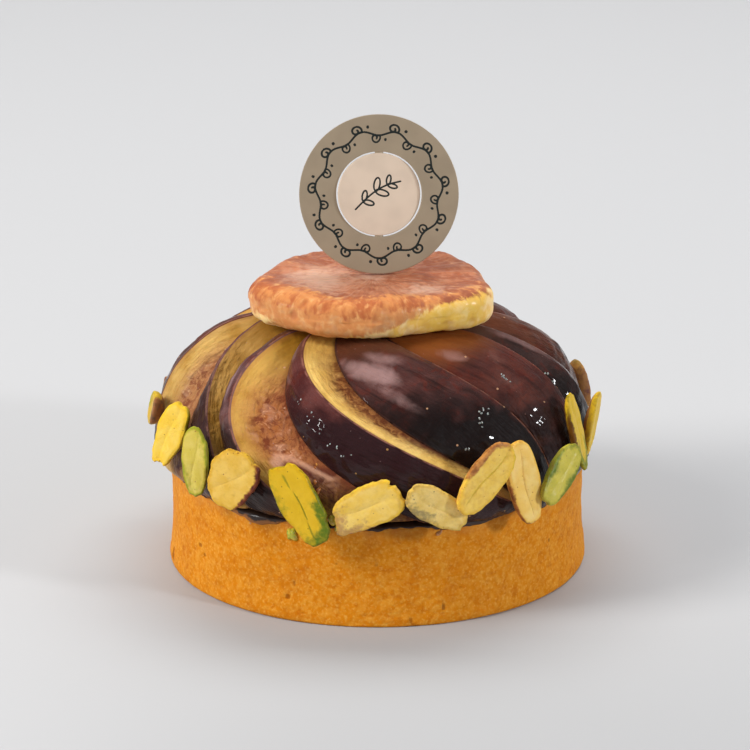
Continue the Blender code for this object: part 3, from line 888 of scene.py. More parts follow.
@dataclass
class Shell:
    """Shortcrust shell and mound of filling: a profile turned about the tart's axis, with a sandy relief."""

    top_radius: float = 39.3 * MM
    height: float = 20.0 * MM
    lip: float = 1.5 * MM
    foot: float = 0.5 * MM
    side: Table = in_mm((0.0, 39.7), (0.6, 40.0), (1.5, 39.8), (6.0, 39.4), (11.0, 39.15), (18.5, 39.3))
    mound: Table = in_mm((0.01, 48.4), (11.1, 48.4), (12.6, 46.9), (14.0, 42.7), (21.0, 39.9), (27.7, 35.6),
                         (31.3, 32.0), (33.8, 28.5), (35.2, 24.0), (36.4, 21.6), (37.2, 20.0))
    columns: int = 720

    def profile(self) -> Array:
        """Radius and height from the mound's top, over the rim and the side, to the underside's middle."""
        rim = self.corner(self.top_radius, self.height - self.lip, self.lip, np.linspace(90.0, 0.0, 7))
        heights = np.linspace(self.height - self.lip - 0.25 * MM, self.foot + 0.05 * MM, 62)
        wall = np.stack((soft_table(self.side, heights, 1.0 * MM), heights), axis=1)
        foot = self.corner(wall[-1, 0], self.foot, self.foot, np.linspace(0.0, -90.0, 5)[1:])
        under = in_mm((38.0, 0.0), (30.0, 0.0), (15.0, 0.0), (0.01, 0.0))
        return np.concatenate((np.array(self.mound), rim, wall, foot, np.array(under)))

    def corner(self, edge: float, level: float, bend: float, turn: Array) -> Array:
        """Radius and height round a corner: an arc that touches the edge, its middle at the level."""
        angle = np.radians(turn)
        return np.stack((edge - bend + bend * np.cos(angle), level + bend * np.sin(angle)), axis=1)

    def surface(self) -> Rings:
        """Turn the profile and raise its relief.

        Relief is the sum of wide unevenness and grain, less the pits, faded out on the underside and under
        the figs.
        """
        radius, height = self.profile().T
        angle = full_turn(self.columns)
        points = grid(*around(radius[:, None], angle), height[:, None])
        rings = Rings(points)
        outside = ease(36.5 * MM, 38.5 * MM, radius)[:, None] * np.ones_like(angle)
        standing = ease(0.05 * MM, 0.7 * MM, height)[:, None]
        grain = layered_noise(points, 1.1 * MM, 2, 3)
        pitted = ease(0.15, 0.5, lattice_noise(points, 4.0 * MM, 31))
        pit = ease(0.62, 0.9, lattice_noise(points, 1.5 * MM, 9)) * pitted
        relief = 0.16 * MM * layered_noise(points, 7.0 * MM, 2, 1) + 0.07 * MM * grain - 0.2 * MM * pit
        rings.raise_by(relief * outside * standing)
        low = ease(2.0 * MM, 0.3 * MM, height)[:, None]
        ragged = 0.22 * MM * layered_noise(points, 2.0 * MM, 2, 5) * low * standing
        rings.points[..., 2] += ragged * outside
        rings.values = {
            "pit": pit * outside, "baked": ease(15.0 * MM, 20.0 * MM, height)[:, None] * outside}
        return rings

    def build(self, surface: Rings) -> None:
        """Make the shell's piece of its surface."""
        make_piece("shortcrust_shell", [surface], Slot.CRUST, CrustFinish().material(), ["base"])


@dataclass(frozen=True)
class WedgeShape:
    """One fig wedge: azimuths of its ridge at the stations down the dome, and how it meets its neighbour.

    Attributes:
        ridge: Azimuths in degrees at 20, 45, 70 and 95 degrees down the dome.
        cut_top: Where its foot lies between the ridge before it and its own, near the top.
        cut_share: The same near the rim.
        bulge: How far its skin swells, as a share of the wedges' thickness.
        hang: How far down the dome it reaches, in degrees.
        lift: How far its ridge stands out of the dome, as a share of the wedges' thickness.
        pulp: Middle of the pulp on the cut face, across from the ridge and down along it, in millimetres.
        pulp_reach: Half width and half length of the pulp, in millimetres.
        jelly: How far down, in millimetres, the pulp turns to dark jelly, and over what length.
        sheen_patches: Patches of painted sheen on the skin: across, down, half width and half length in mm,
            and strength.
        folds: Raised folds of glaze: half width, then places across and down, all in millimetres.
    """

    ridge: tuple[float, float, float, float]
    cut_top: float = 0.35
    cut_share: float = 0.35
    bulge: float = 0.03
    hang: float = 102.0
    lift: float = 0.0
    pulp: Pair = (9.0, 24.0)
    pulp_reach: Pair = (5.5, 15.0)
    jelly: Pair = (33.0, 5.0)
    sheen_patches: tuple[tuple[float, float, float, float, float], ...] = ()
    folds: tuple[tuple[float, Table], ...] = ()


@dataclass
class FigFan:
    """Fan of fig wedges that wind round the tart like a pinwheel and lean on each other."""

    shapes: tuple[WedgeShape, ...]
    finishes: tuple[FigFinish, ...]
    radius: float = 42.5 * MM
    rise: float = 27.8 * MM
    tuck: float = 20.0 * MM
    waist: float = 24.0 * MM
    thickness: float = 7.0 * MM
    stations: tuple[float, ...] = (20.0, 45.0, 70.0, 95.0)
    rim: tuple[Triple, ...] = (
        (84.0, 35.3 * MM, 26.2 * MM), (90.0, 35.6 * MM, 23.6 * MM), (95.0, 36.8 * MM, 21.2 * MM),
        (99.0, 38.3 * MM, 20.35 * MM), (103.0, 39.75 * MM, 20.0 * MM), (109.0, 39.85 * MM, 17.6 * MM),
    )
    valleys: Table = ((22.0, 0.34), (40.0, 0.45), (76.0, 0.405), (92.0, 0.27), (106.0, 0.2025))
    crests: Table = ((22.0, 0.2), (30.0, 0.03))
    slants: Table = ((84.0, 0.6), (100.0, 0.09))
    bulges: Table = ((28.0, 0.0), (40.0, 1.0), (90.0, 1.0), (104.0, 0.3))
    lifts: Table = ((30.0, 0.0), (42.0, 1.0), (60.0, 1.0), (80.0, 0.25), (90.0, 0.0))
    slimming: Table = ((58.0, 0.0), (70.0, 0.9 * MM), (84.0, 1.2 * MM), (102.0, 1.8 * MM))
    slim_end: float = 0.7
    share_stations: Pair = (36.0, 72.0)
    widest_cut: float = 20.0
    start: float = 22.0
    end_bend: float = 0.45
    end_stretch: float = 7.0
    cap: float = 1.1 * MM
    rows: int = 116
    skin_columns: int = 46
    cut_columns: int = 38
    low_columns: int = 5
    base_columns: int = 8

    def dome(self, theta: Array, depth: float = 0.0) -> tuple[Array, Array]:
        """Radius and height on the dome: one ellipse above its widest ring, another below."""
        angle = np.radians(theta)
        rise = np.where(theta <= 90.0, self.rise, self.tuck)
        across, upward = rise * np.sin(angle), self.radius * np.cos(angle)
        norm = np.hypot(across, upward)
        radius = self.radius * np.sin(angle) - depth * across / norm
        return radius, self.waist + rise * np.cos(angle) - depth * upward / norm

    def under(self, theta: Array) -> tuple[Array, Array]:
        """Radius and height of the wedges' undersides: inside the dome, then along the shell's rim."""
        knots = np.array(self.rim)
        dome_radius, dome_height = self.dome(np.minimum(theta, knots[0, 0]), self.thickness)
        rim_radius, rim_height = (np.interp(theta, knots[:, 0], knots[:, column]) for column in (1, 2))
        on_dome = theta < knots[0, 0]
        return np.where(on_dome, dome_radius, rim_radius), np.where(on_dome, dome_height, rim_height)

    def ridge(self, index: int, theta: Array) -> Array:
        """Azimuth of a wedge's ridge: a cubic through its four stations, counted on past a full turn."""
        turns, place = divmod(index, len(self.shapes))
        return np.polyval(np.polyfit(self.stations, self.shapes[place].ridge, 3), theta) + 360.0 * turns

    def foot_share(self, shape: WedgeShape, theta: Array) -> Array:
        """Share of the way from the ridge before a wedge to its own at which its foot lies."""
        share = soft_table(tuple(zip(self.share_stations, (0.0, 1.0))), theta, 3.0)
        return shape.cut_top + share * (shape.cut_share - shape.cut_top)

    def columns(self) -> tuple[Array, Array]:
        """Which stretch of the section each column is on, and how far along it, from 0 to 1.

        The stretches are 0 the skin up to the ridge, 1 the cut face, 2 the slanted side below it, 3 the
        base and 4 the slanted side back up to the foot.
        """
        skin = 1.0 - np.linspace(1.0, 0.0, self.skin_columns) ** 1.25
        cut, low, base = (
            np.linspace(0.0, 1.0, count + 1)[1:] for count in (
                self.cut_columns, self.low_columns, self.base_columns))
        steps = (skin, cut**1.25, low, base, low[:-1])
        kinds = np.concatenate([np.full(len(step), kind) for kind, step in enumerate(steps)])
        return kinds, np.concatenate(steps)

    def section(self, index: int, theta: Array, kinds: Array, steps: Array) -> tuple[Array, Array]:
        """Azimuths and depths of a wedge's sections.

        A section climbs the skin from its foot to the ridge, falls down the cut face to the next wedge's
        foot, goes on under that wedge to the base, and comes back along it. The skin's depth falls from the
        valley to the crest by a power of what is left of the way, less a sine for the bulge.

        Args:
            index: Number of the wedge.
            theta: Degrees down the dome, rows by columns.
            kinds: Stretch of each column.
            steps: How far along its stretch each column is.

        Returns:
            Azimuths in degrees, and depths as shares of the wedges' thickness.
        """
        shape, after = self.shapes[index], self.shapes[(index + 1) % len(self.shapes)]
        before_ridge, ridge, after_ridge = (self.ridge(index + shift, theta) for shift in (-1, 0, 1))
        cut_before = self.foot_share(shape, theta) * (ridge - before_ridge)
        cut_after = self.foot_share(after, theta) * (after_ridge - ridge)
        foot = before_ridge + cut_before
        next_foot = ridge + cut_after
        valley = soft_table(self.valleys, theta, 4.0)
        slope = soft_table(self.slants, theta, 2.0) * (1.0 - valley) / valley
        own_base = foot + slope * np.minimum(cut_before, self.widest_cut)
        next_base = next_foot + slope * np.minimum(cut_after, self.widest_cut)
        crest = soft_table(self.crests, theta, 3.0) - shape.lift * soft_table(self.lifts, theta, 4.0)
        swell = shape.bulge * soft_table(self.bulges, theta, 5.0)
        azimuth = np.choose(kinds, (
            foot + steps * (ridge - foot),
            ridge + steps * (next_foot - ridge),
            next_foot + steps * (next_base - next_foot),
            next_base + steps * (own_base - next_base),
            own_base + steps * (foot - own_base),
        ))
        depth = np.choose(kinds, (
            crest + (valley - crest) * (1.0 - steps) ** 2.2 - swell * np.sin(np.pi * steps),
            crest + (valley - crest) * (steps + 0.4 * steps * (1.0 - steps)),
            valley + steps * (1.0 - valley),
            np.ones_like(theta),
            1.0 - steps * (1.0 - valley),
        ))
        round_end = self.end_bend * np.clip(1.0 + (theta - shape.hang) / self.end_stretch, 0.0, 1.0) ** 2
        return azimuth, round_end + (1.0 - round_end) * depth

    def surface(self, index: int) -> Rings:
        """One wedge's surface with its relief, and the distances that its finish reads."""
        shape = self.shapes[index]
        kinds, steps = self.columns()
        middle = np.where(kinds == 0, (2.0 * steps - 1.0) ** 2, 1.0)
        hang = shape.hang - 2.0 - 2.4 * middle
        down = np.linspace(0.0, 1.0, self.rows)[:, None]
        theta = self.start + (hang - self.start) * down
        azimuth, depth = self.section(index, theta, kinds, steps)
        outer_radius, outer_height = self.dome(theta)
        under_radius, under_height = self.under(theta)
        angle = np.radians(azimuth)
        side = np.clip((np.cos(angle) - self.slim_end) / (1.0 - self.slim_end), 0.0, 1.0)
        skin_radius = outer_radius - side * soft_table(self.slimming, theta, 2.0)
        radius = skin_radius * (1.0 - depth) + under_radius * depth
        height = outer_height * (1.0 - depth) + under_height * depth
        points = grid(*around(radius, angle), height)
        rings = Rings(points)
        ridge_column = self.skin_columns - 1
        chords = np.linalg.norm(np.diff(points, axis=1), axis=2) / MM
        reach = np.concatenate((np.zeros((self.rows, 1)), np.cumsum(chords, axis=1)), axis=1)
        from_ridge = reach - reach[:, ridge_column:ridge_column + 1]
        from_ridge = np.where(
            kinds == 4, -np.abs(reach[:, ridge_column:ridge_column + 1]) - 1.0, from_ridge)
        lengthwise = np.linalg.norm(np.diff(points[:, ridge_column], axis=0), axis=1) / MM
        along = np.concatenate(((0.0,), np.cumsum(lengthwise)))[:, None]
        valley = np.where(kinds == 1, ease(0.82, 1.0, steps), 0.0) + np.where(kinds == 2, 1.0, 0.0)
        pulp_x, pulp_y = from_ridge - shape.pulp[0], along - shape.pulp[1]
        rings.values = {
            "from_ridge": from_ridge,
            "from_foot": np.where(kinds == 0, reach, 9.0),
            "down": np.broadcast_to(along, from_ridge.shape),
            "pulp_x": pulp_x,
            "pulp_y": np.broadcast_to(pulp_y, from_ridge.shape),
            "pulp": np.hypot(pulp_x / shape.pulp_reach[0], pulp_y / shape.pulp_reach[1]),
            # Painted shade: 1 where the cut face runs into the crease under the next wedge.
            "valley": np.broadcast_to(valley, from_ridge.shape),
            "jelly": np.broadcast_to(
                ease(shape.jelly[0], shape.jelly[0] + shape.jelly[1], along), from_ridge.shape),
            # Painted sheen: where the glaze's reflections go into the colour.
            "haze_and_sheen": self.painted_sheen(shape, from_ridge, along),
            "fold": self.folded(shape, from_ridge, along * np.ones_like(from_ridge)),
        }
        self.relief(rings, index, kinds, steps)
        return self.closed(rings)

    def painted_sheen(self, shape: WedgeShape, across: Array, along: Array) -> Array:
        """How much sheen is painted in: the strongest of the patches' (1 - distance^2), less the clear ones.
        """
        sheen_cloud = np.zeros_like(across)
        for middle_across, middle_along, half_width, half_length, strength in shape.sheen_patches:
            away = np.hypot((across - middle_across) / half_width, (along - middle_along) / half_length)
            patch = strength * (1.0 - np.minimum(away, 1.0) ** 2)
            sheen_cloud = np.maximum(sheen_cloud, patch) if strength > 0.0 else sheen_cloud + patch
        return sheen_cloud

    def folded(self, shape: WedgeShape, across: Array, along: Array) -> Array:
        """How much of a glaze fold is at each point: 1 on a fold's line, 0 beyond its half width."""
        fold = np.zeros_like(across)
        for half_width, line in shape.folds:
            places = np.array(line)
            for start, end in zip(places[:-1], places[1:]):
                step = end - start
                share = ((across - start[0]) * step[0] + (along - start[1]) * step[1]) / (step @ step)
                share = np.clip(share, 0.0, 1.0)
                away = np.hypot(across - start[0] - share * step[0], along - start[1] - share * step[1])
                fold = np.maximum(fold, ease(half_width, 0.25 * half_width, away))
        return fold

    def relief(self, rings: Rings, index: int, kinds: Array, steps: Array) -> None:
        """Raise glaze ripples and lengthwise wrinkles on the skin, and softer lumps on the cut face."""
        points = rings.points
        open_skin = np.where(kinds == 0, np.clip(np.minimum(steps, 1.0 - steps) * 6.0, 0.0, 1.0), 0.0)
        open_cut = np.where(kinds == 1, np.clip(np.minimum(steps, 1.0 - steps) * 4.0, 0.0, 1.0), 0.0)
        across, along = rings.values["from_ridge"], rings.values["down"]
        streak = lattice_noise(grid(across / 1.6, along / 14.0, float(index)), 1.0, 7)
        low = ease(10.0, 26.0, along)
        ripples = 0.15 * MM * layered_noise(points, 5.0 * MM, 2, 11 + index)
        ripples += (0.05 + 0.12 * low) * MM * layered_noise(points, 2.2 * MM, 2, 71 + index)
        height = open_skin * (ripples + 0.08 * MM * streak)
        pulp = ease(1.2, 0.7, rings.values["pulp"])
        height += open_cut * (0.14 * MM * layered_noise(points, 3.0 * MM, 3, 41 + index) - 0.22 * MM * pulp)
        height += 0.16 * MM * (open_skin + open_cut) * rings.values["fold"]
        rings.raise_by(height)

    def closed(self, rings: Rings) -> Rings:
        """Round the two ends: the section shrinks by a cosine while it moves on by a sine."""
        turns = np.radians(np.array((30.0, 55.0, 75.0, 86.0)))
        caps = []
        for row, inner in ((0, 1), (-1, -2)):
            ring = rings.points[row]
            middle = ring.mean(axis=0)
            onward = ring.mean(axis=0) - rings.points[inner].mean(axis=0)
            onward *= self.cap / np.linalg.norm(onward)
            caps.append(
                [middle + (ring - middle) * math.cos(turn) + onward * math.sin(turn) for turn in turns])
        points = np.concatenate((np.array(caps[0])[::-1], rings.points, np.array(caps[1])))
        values = {}
        for name, value in rings.values.items():
            first, last = (np.repeat(end, len(turns), axis=0) for end in (value[:1], value[-1:]))
            values[name] = np.concatenate((first, value, last))
        return Rings(points, values)

    def build(self, surfaces: Sequence[Rings]) -> None:
        """Make a piece of every wedge's surface, in the solid's place."""
        for number, (surface, finish) in enumerate(zip(surfaces, self.finishes), start=1):
            name, solid = f"glazed_fig_{number:02d}", f"fig_wedge_{number:02d}"
            make_piece(name, [surface], Slot.FIG, finish.material(), [solid])


@dataclass
class TopSlice:
    """Thick round slice of fig: an uneven outline with round edges, soft fibres and a wavy underside."""

    base: float = 48.8 * MM
    thickness: float = 7.2 * MM
    edge: float = 2.9 * MM
    centre: Pair = (-0.8 * MM, -3.0 * MM)
    outline: Table = (
        (0.0, 21.8), (30.0, 21.8), (58.0, 22.4), (90.0, 19.8), (121.0, 21.3), (160.0, 21.6),
        (193.0, 23.4), (225.0, 20.4), (256.0, 19.2), (299.0, 17.7), (336.0, 23.6),
    )
    columns: int = 360

    def build(self) -> None:
        """Shape the slice.

        A section runs in from the outline over a quarter circle to the flat top, and the same below. Its
        relief is soft lumps, fibres that run out from the middle, and a ragged lower edge.
        """
        azimuth = np.linspace(90.0, 450.0, self.columns, endpoint=False)
        knots, radii = (np.array(column) for column in zip(*self.outline))
        reach = closed_curve(azimuth, knots, radii) * MM
        flat = np.linspace(0.0, 1.0, 46)[1:] ** 0.8
        turn = np.radians(np.linspace(90.0, 0.0, 13))[1:]
        wall = np.linspace(1.0, -1.0, 9)[1:-1]
        half, level_run = 0.5 * self.thickness, np.ones_like(flat)
        inner = np.concatenate((flat, np.ones(2 * len(turn) + len(wall)), flat[::-1]))
        bend = np.cos(turn)
        over = np.concatenate((0.0 * flat, bend, np.ones_like(wall), bend[::-1], 0.0 * flat))
        rim_up = half - self.edge
        upper = rim_up + self.edge * np.sin(turn)
        height = np.concatenate((half * level_run, upper, wall * rim_up, -upper[::-1], -half * level_run))
        radius = inner[:, None] * (reach - self.edge) + over[:, None] * self.edge
        angle = np.radians(azimuth)
        x, y = self.centre
        points = grid(
            x + radius * np.cos(angle), y + radius * np.sin(angle), self.base + half + height[:, None])
        rings = Rings(points)
        out = radius / reach
        top = ease(-0.2 * MM, 2.4 * MM, height)[:, None]
        fibre = layered_noise(grid(*around(20.0, angle), radius / (6.0 * MM)), 1.0, 2, 5)
        lumps = layered_noise(points, 7.0 * MM, 3, 23)
        fade = ease(0.05, 0.3, out)
        ragged = np.where(height[:, None] < 0.0, layered_noise(points, 3.0 * MM, 2, 29), 0.0)
        pits = ease(0.5, 0.85, lattice_noise(points, 2.2 * MM, 41)) * ease(0.5, 0.75, out)
        pits = pits * ease(-3.0 * MM, 0.0, height)[:, None]
        rings.raise_by(
            (0.32 * MM * lumps + 0.09 * MM * fibre + 0.22 * MM * ragged - 0.35 * MM * pits) * fade)
        onward = np.cumsum(np.linalg.norm(np.diff(points, axis=0, prepend=points[:1]), axis=2), axis=0) / MM
        level = height[:, None] / MM
        turned = np.mod(azimuth, 360.0)[None, :]
        across, back = radius * np.cos(angle) / MM, radius * np.sin(angle) / MM
        gold_top = soft_table(
            ((0.0, 1.5), (60.0, -1.5), (120.0, -2.5), (236.0, -4.5), (262.0, -3.0), (282.0, -1.4),
             (300.0, 0.8), (318.0, 2.8), (344.0, 3.0), (360.0, 1.5)), turned, 8.0)
        side_top = soft_table(
            ((0.0, 2.0), (180.0, 1.0), (225.0, 1.6), (262.0, 0.6), (300.0, 2.0), (360.0, 2.0)), turned, 6.0)
        rings.values = {
            "off_x": across,
            "off_y": back,
            "onward": onward,
            "rim": ease(0.55, 0.92, out) * (0.35 + 0.65 * ease(-2.0, 8.0, -back)) * (
                1.0 - 0.4 * ease(2.0, 14.0, across)),
            "side": ease(side_top + 1.6, side_top - 1.2, level),
            "gold": ease(gold_top + 1.4, gold_top - 1.0, level) * ease(0.6, 0.85, out),
            "haze_and_sheen": np.maximum.reduce((
                1.15 - np.hypot((across + 10.0) / 10.0, (back + 2.0) / 13.0),
                1.0 - np.hypot((across - 10.0) / 8.0, (back + 9.0) / 6.0),
                0.8 - np.hypot((across + 1.0) / 11.0, (back + 1.0) / 8.0),
            )) * top,
            "olive": 0.35 * ease(22.0, 6.0, np.abs(turned - 318.0)) * ease(3.4, 0.6, level),
            "cream": ease(16.0, 4.0, np.abs(turned - 200.0)) * ease(0.6, -2.4, level)
            + 0.7 * ease(14.0, 4.0, np.abs(turned - 340.0)) * ease(3.4, 1.0, level),
            "pit": pits,
        }
        make_piece("round_fig_slice", [rings], Slot.FIG_SLICE, SliceFinish().material(), ["fig_slice"])


@dataclass
class Plaque:
    """Upright round plaque: an engraved ring, and a disc turned a little in it that hangs on two tabs."""

    radius: float = 14.9 * MM
    window: float = 7.98 * MM
    disc: float = 7.7 * MM
    thickness: float = 0.9 * MM
    lean: float = 11.0
    centre: Triple = (0.3 * MM, 0.5 * MM, 70.8 * MM)
    disc_turn: float = 5.0
    tab: float = 1.6 * MM
    bevel: float = 0.1 * MM
    engraving: float = 0.06 * MM

    def stand(self, x: Array, z: Array, y: Array, turn: float = 0.0) -> Array:
        """Place points of the upright plaque: turned about Z, leaned back about X, moved to its centre."""
        turn, lean = math.radians(turn), math.radians(-self.lean)
        turned_x = x * math.cos(turn) - y * math.sin(turn)
        turned_y = x * math.sin(turn) + y * math.cos(turn)
        leaned_y = turned_y * math.cos(lean) - z * math.sin(lean)
        leaned_z = turned_y * math.sin(lean) + z * math.cos(lean)
        return grid(turned_x, leaned_y, leaned_z) + np.array(self.centre)

    def drawn(self, x: Array, y: Array, strokes: Sequence[Array], width: float) -> Array:
        """How far points are inked: 1 on a stroke, 0 beyond its width.

        Args:
            x: Points' first coordinates, in millimetres.
            y: Points' second coordinates.
            strokes: Curves as rows of points, close together.
            width: Half width of the pen, in millimetres.

        Returns:
            The ink at each point.
        """
        dots = np.concatenate(strokes)
        nearest = np.full(x.shape, 9.0)
        for dot_x, dot_y in dots:
            nearest = np.minimum(nearest, (x - dot_x) ** 2 + (y - dot_y) ** 2)
        return ease(1.25 * width, 0.75 * width, np.sqrt(nearest))

    def curl(self, start: Pair, middle: Pair, turns: float, way: float) -> Array:
        """Spiral from a start round a middle: its radius shrinks evenly to a quarter while it turns."""
        share = np.linspace(0.0, 1.0, 64)
        arm = math.hypot(start[0] - middle[0], start[1] - middle[1])
        first = math.atan2(start[1] - middle[1], start[0] - middle[0])
        radius, angle = arm * (1.0 - 0.75 * share), first + way * turns * 2.0 * math.pi * share
        return np.stack((middle[0] + radius * np.cos(angle), middle[1] + radius * np.sin(angle)), axis=1)

    def ring_strokes(self, radius: Array, angle: Array) -> Array:
        """Engraving of the ring: a running vine, with a curl outwards and one inwards in each wave."""
        middle, units = 11.5, 11
        wide = 2.0 * math.pi * middle / units
        along = np.linspace(-0.1, 1.1, 90) * wide
        stem = np.stack((along, 0.5 * np.sin(2.0 * math.pi * along / wide)), axis=1)
        outward = self.curl((0.22 * wide, 0.5), (0.36 * wide, 0.95), 1.15, -1.0)
        inward = self.curl((0.72 * wide, -0.5), (0.86 * wide, -0.95), 1.15, 1.0)
        bud = self.curl((0.04 * wide, 1.35), (0.04 * wide, 1.2), 1.0, 1.0)
        seed = self.curl((0.54 * wide, -1.35), (0.54 * wide, -1.2), 1.0, 1.0)
        s = np.mod(angle, 2.0 * math.pi / units) * middle * np.ones_like(radius)
        b = (radius - middle) * np.ones_like(angle)
        return self.drawn(s, b, (stem, outward, inward, bud, seed), 0.19)

    def disc_strokes(self, radius: Array, angle: Array) -> Array:
        """Engraving of the disc: a slanting sprig, a curved stem with three pairs of leaf loops."""
        share = np.linspace(0.0, 1.0, 90)
        strokes = [np.stack(
            (-4.4 + 8.4 * share, -2.8 + 5.2 * share + 1.1 * np.sin(math.pi * share)), axis=1)]
        turn = np.linspace(0.0, 2.0 * math.pi, 70)
        for place, reach in ((0.18, 2.0), (0.45, 2.5), (0.72, 1.8)):
            foot = strokes[0][round(place * 89)]
            for side in (1.0, -1.0):
                heading = math.radians(32.0 + side * 48.0)
                loop_x, loop_y = 0.5 * reach * (1.0 - np.cos(turn)), side * 0.22 * reach * np.sin(turn)
                strokes.append(foot + np.stack((
                    loop_x * math.cos(heading) - loop_y * math.sin(heading),
                    loop_x * math.sin(heading) + loop_y * math.cos(heading)), axis=1))
        return self.drawn(*around(radius, angle), strokes, 0.17)

    def rim(self, edge: float, outward: float) -> tuple[Array, Array]:
        """Radius and depth round one edge, from front to back, with small bevels at its corners."""
        half, bevel = 0.5 * self.thickness, self.bevel
        depth = np.array(
            (-half, -half + 0.3 * bevel, -half + bevel, half - bevel, half - 0.3 * bevel, half))
        inset = np.array((bevel, 0.3 * bevel, 0.0, 0.0, 0.3 * bevel, bevel))
        return edge - outward * inset, depth

    def sheet(self, front: Array, thinned: int, window: bool) -> tuple[Array, Array, Array]:
        """Section of a flat part: front, edge and back, then the window's edge where there is one.

        Args:
            front: Radii of the front's rows.
            thinned: The back has every so many of them.
            window: True for the ring, whose section closes on itself.

        Returns:
            Radius and depth of each row, and 1 on the front's rows and 0 elsewhere.
        """
        back = front[::-thinned]
        edge = self.radius if window else self.disc
        stretches = [(front, np.full(len(front), -0.5 * self.thickness)), self.rim(edge, 1.0),
                     (back, np.full(len(back), 0.5 * self.thickness))]
        if window:
            stretches.append(tuple(column[::-1] for column in self.rim(self.window, -1.0)))
        radius, depth = (np.concatenate(columns)[:, None] for columns in zip(*stretches))
        return radius, depth, np.where(np.arange(len(radius)) < len(front), 1.0, 0.0)[:, None]

    def build(self) -> None:
        """Make the ring with its tabs, and the disc, with the strokes cut into their front faces."""
        angle = full_turn(924)
        front = np.linspace(self.window + self.bevel, self.radius - self.bevel, 62)[1:-1]
        radius, depth, on_front = self.sheet(front, 6, window=True)
        ink = self.ring_strokes(radius / MM, angle) * on_front
        points = self.stand(*around(radius, angle), depth + self.engraving * ink)
        parts = [Rings(points, {"ink": ink}, hoop=True), self.tab_block(1.0), self.tab_block(-1.0)]
        make_piece("plaque_ring", parts, Slot.PLAQUE, PlaqueFinish("plaque_taupe").material(), ["plaque"])
        angle = full_turn(480)
        front = np.linspace(0.0, self.disc - self.bevel, 72)[1:-1]
        radius, depth, on_front = self.sheet(front, 8, window=False)
        ink = self.disc_strokes(radius / MM, angle) * on_front
        points = self.stand(*around(radius, angle), depth + self.engraving * ink, self.disc_turn)
        finish = PlaqueFinish("plaque_pearl", (228, 206, 184), metallic=0.2)
        make_piece("plaque_disc", [Rings(points, {"ink": ink})], Slot.PLAQUE, finish.material())

    def tab_block(self, side: float) -> Rings:
        """One tab: a small block across the slit, as four rings of four corners."""
        half_width, half_depth = 0.5 * self.tab, 0.4 * self.thickness
        low, high = side * (self.disc - 0.5 * MM), side * (self.window + 0.5 * MM)
        corners = np.array(((-1.0, -1.0), (1.0, -1.0), (1.0, 1.0), (-1.0, 1.0)))
        heights = np.linspace(low, high, 4)
        x = np.tile(corners[:, 0] * half_width, (4, 1))
        y = np.tile(corners[:, 1] * half_depth, (4, 1))
        points = self.stand(x, heights[:, None] * np.ones(4), y)
        return Rings(points, {"ink": np.zeros((4, 4))})


@dataclass(frozen=True)
class NutLook:
    """How one pistachio half looks. Angles go round its cut face from the right, with 90 at its upper end.

    Attributes:
        face: Colour of the cut face.
        bright: Colour of its brighter patches.
        green: Colour of the flesh next to the skin.
        skin: Colour of the papery skin.
        purple: Colour of the skin's darker patches.
        rim: Width of the green rim in millimetres.
        greens: Angles of ends or sides that are greener, each with its strength.
        skin_at: Angle of the side whose skin shows from the front, or None.
        skin_wide: How far that skin reaches over the face, in millimetres.
        groove: Strength of the line along the face.
        slant: Turn of that line from the nut's own axis, in degrees.
        smudge_at: Angle of a dull smudge, or None.
        smudge: Colour of the smudge.
        worn: How dusty the face is, from 0 to 1.
        notches: Strength of the uneven outline.
        blunt: Power of the outline's ends: lower is blunter.
        nicks: Angle, half width in degrees and depth, as a share, of single bites out of the outline.
    """

    face: Rgb = (232, 206, 100)
    bright: Rgb = (240, 200, 62)
    green: Rgb = (168, 172, 40)
    skin: Rgb = (158, 108, 58)
    purple: Rgb = (110, 66, 58)
    rim: float = 0.4
    greens: Table = ()
    skin_at: float | None = None
    skin_wide: float = 1.2
    groove: float = 0.8
    slant: float = 0.0
    smudge_at: float | None = None
    smudge: Rgb = (128, 116, 84)
    worn: float = 0.15
    notches: float = 0.35
    blunt: float = 0.75
    nicks: tuple[Triple, ...] = ()


